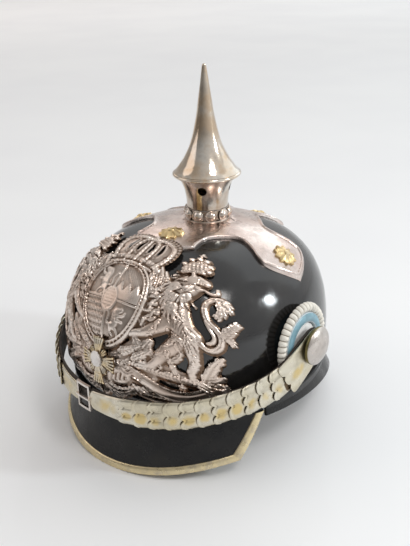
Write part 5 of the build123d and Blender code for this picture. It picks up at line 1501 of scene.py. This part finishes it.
neck_low, neck_top = NECK_Z + COLLAR, NECK_Z + NECK_HEIGHT
outside = [(NECK_FOOT, NECK_Z)]
for t in np.linspace(0, 1, 24):
    z = (1 - t) ** 2 * neck_low + 2 * t * (1 - t) * (neck_low + (neck_top - neck_low) * 0.62) + t ** 2 * neck_top
    outside.append((NECK_FOOT * (1 - t ** 2) + NECK_MOUTH * t ** 2, z))
neck = wall(spun("spike_neck_tube", outside), SPUN_SHEET)
for k in range(VENTS):
    turn = math.radians(FIRST_VENT + 90 * k)
    drilled(neck, VENT_RADIUS, 14, (*polar((0, 0), 17, turn), VENT_Z), 32, (0, math.pi / 2, turn))
dress(smooth(neck, 40), neck_silver, "spike_neck")
print("spike", size_of(spike))

# %% [markdown]
# The pearl ring is a band with ten beads, each sitting in a small round cup. A ball and a
# thin ring round it are put at each of ten places, and joined with the band.

# %% Pearl ring
PEARLS, PEARL_CIRCLE, PEARL_RADIUS, PEARL_Z = 10, 13.8, 4.3, NECK_Z + 4.3
CUP_CIRCLE, CUP_RADIUS, CUP_WIRE, SHADE_OUT_TO, SHADE_FADE = 15.9, 4.0, 0.5, 15.0, 1.8
BAND_OUTLINE = [(14.3, 0), (16.6, 0), (16.4, 0.7), (15.0, 1.2), (15.0, 7.8), (15.8, 8.1), (15.6, 8.8), (14.3, 9.0)]
parts = [spun("pearl_band", [(r, NECK_Z + h) for r, h in BAND_OUTLINE], 80)]
bpy.ops.object.select_all(action="DESELECT")
for k in range(PEARLS):
    turn = math.radians(30 + 36 * k)
    bead, cup = [[v * MM for v in (*polar((0, 0), far, turn), PEARL_Z)] for far in (PEARL_CIRCLE, CUP_CIRCLE)]
    bpy.ops.mesh.primitive_uv_sphere_add(segments=24, ring_count=14, radius=PEARL_RADIUS * MM, location=bead)
    parts.append(bpy.context.object)
    bpy.ops.object.transform_apply(location=True, rotation=True, scale=True)
    bpy.ops.mesh.primitive_torus_add(major_radius=CUP_RADIUS * MM, minor_radius=CUP_WIRE * MM, major_segments=28,
                                     minor_segments=8, location=cup, rotation=(0, math.pi / 2, turn))
    parts.append(bpy.context.object)
    bpy.ops.object.transform_apply(location=True, rotation=True, scale=True)
ring = joined("pearls_and_band", parts)
# Painted shade: all that lies nearer the neck than a set radius, the band and the inner halves of the beads and
# cups, is dark, fading out a little way beyond it.
far = [math.hypot(v.co.x, v.co.y) / MM for v in ring.data.vertices]
carry(ring, "depth", [clamped((r - SHADE_OUT_TO) / SHADE_FADE) for r in far])
dress(smooth(ring, 50), pearl_silver, "pearl_ring")
print("pearl ring faces", len(ring.data.polygons))

# %% [markdown]
# The four stars are stamped and gilded. Each point is a small roof: a ridge runs from the
# middle to the tip, and a valley between two tips. A cone with alternate long and short
# corners gives that. One star is made flat, then turned to stand on the dome.

# %% Star studs
STAR_PLACES = [(68, 0), (-68, 0), (0, 67), (0, -41)]
STAR_LIFT, PROBE, CORNERS = 1.5, 0.5, 40
STAR_ROWS = [(9.2, 7.2, -0.4), (9.2, 7.2, 0.75), (8.7, 6.6, 1.15), (5.2, 4.3, 2.35), (2.6, 2.45, 3.0),
             (2.5, 2.5, 2.9), (2.2, 2.2, 3.7), (1.3, 1.3, 4.15), (0.05, 0.05, 4.3)]


def star(name, x, y):
    def over(dx, dy):
        return float(dome_height(x + dx, y + dy, STAR_LIFT))

    slope_x, slope_y = [(over(dx, dy) - over(-dx, -dy)) / (2 * PROBE) for dx, dy in ((PROBE, 0), (0, PROBE))]
    stand = Vector((-slope_x, -slope_y, 1)).normalized()
    turn = Vector((0, 0, 1)).rotation_difference(stand).to_matrix()
    points, deep = [], []
    for long, short, up in STAR_ROWS:
        for k in range(CORNERS):
            reach = (long, (long + short) / 2, short, (long + short) / 2)[k % 4]
            roof = up + (0.25 if k % 4 == 0 and 3 < long < 9 else 0)
            flat = Vector((*polar((0, 0), reach, 2 * math.pi * k / CORNERS), roof))
            points.append(tuple(turn @ flat + Vector((x, y, over(0, 0)))))
            deep.append(0.15 if k % 4 == 2 and long > 3 else 1)
    return net_with(name, points, CORNERS, closed=True, depth=deep)


stars = joined("star_stud_set", [star(f"star_{i}", *spot) for i, spot in enumerate(STAR_PLACES)])
dress(smooth(stars, 25), star_gilt, "star_studs")
print("stars", size_of(stars))

# %% [markdown]
# Inside, a silk lining is gathered at the crown. It is one sheet that follows the dome,
# with folds that start at the gathering and fade towards the sweatband.

# %% Lining
LINING_OFF, LINING_LOW, LINING_HOLE, FOLD, LINING_WALL = -10.0, 64.0, 24.5, 0.75, 0.5
rows, columns, points = 40, 288, []
top_z = float(dome_height(LINING_HOLE, MIDDLE_Y, LINING_OFF))
for i in range(rows):
    way = i / (rows - 1)
    z = LINING_LOW + (top_z - LINING_LOW) * math.sin(way * math.pi / 2)
    share = float(dome_share(z, LINING_OFF))
    for k in range(columns):
        turn = 2 * math.pi * k / columns
        fold = FOLD * way ** 1.5 * (math.sin(24 * turn + 0.7 * math.sin(3 * turn)) - 1)
        points.append(((HALF_X + LINING_OFF + fold) * share * math.cos(turn),
                       MIDDLE_Y + (HALF_Y + LINING_OFF + fold) * share * math.sin(turn), z))
lining = net_piece("lining_silk_sheet", points, columns, closed=True)
dress(smooth(wall(lining, LINING_WALL, 0, even=False), 60), cloth, "dome_lining")
print("lining", size_of(lining))

# %% [markdown]
# What is left of the solids is small or hidden, and its shape is already right: it gets a
# smooth copy and its finish.

# %% The rest
for node in sorted(nodes):
    if node not in made:
        smooth_copy(node)
print("pieces", len(set(made.values())))
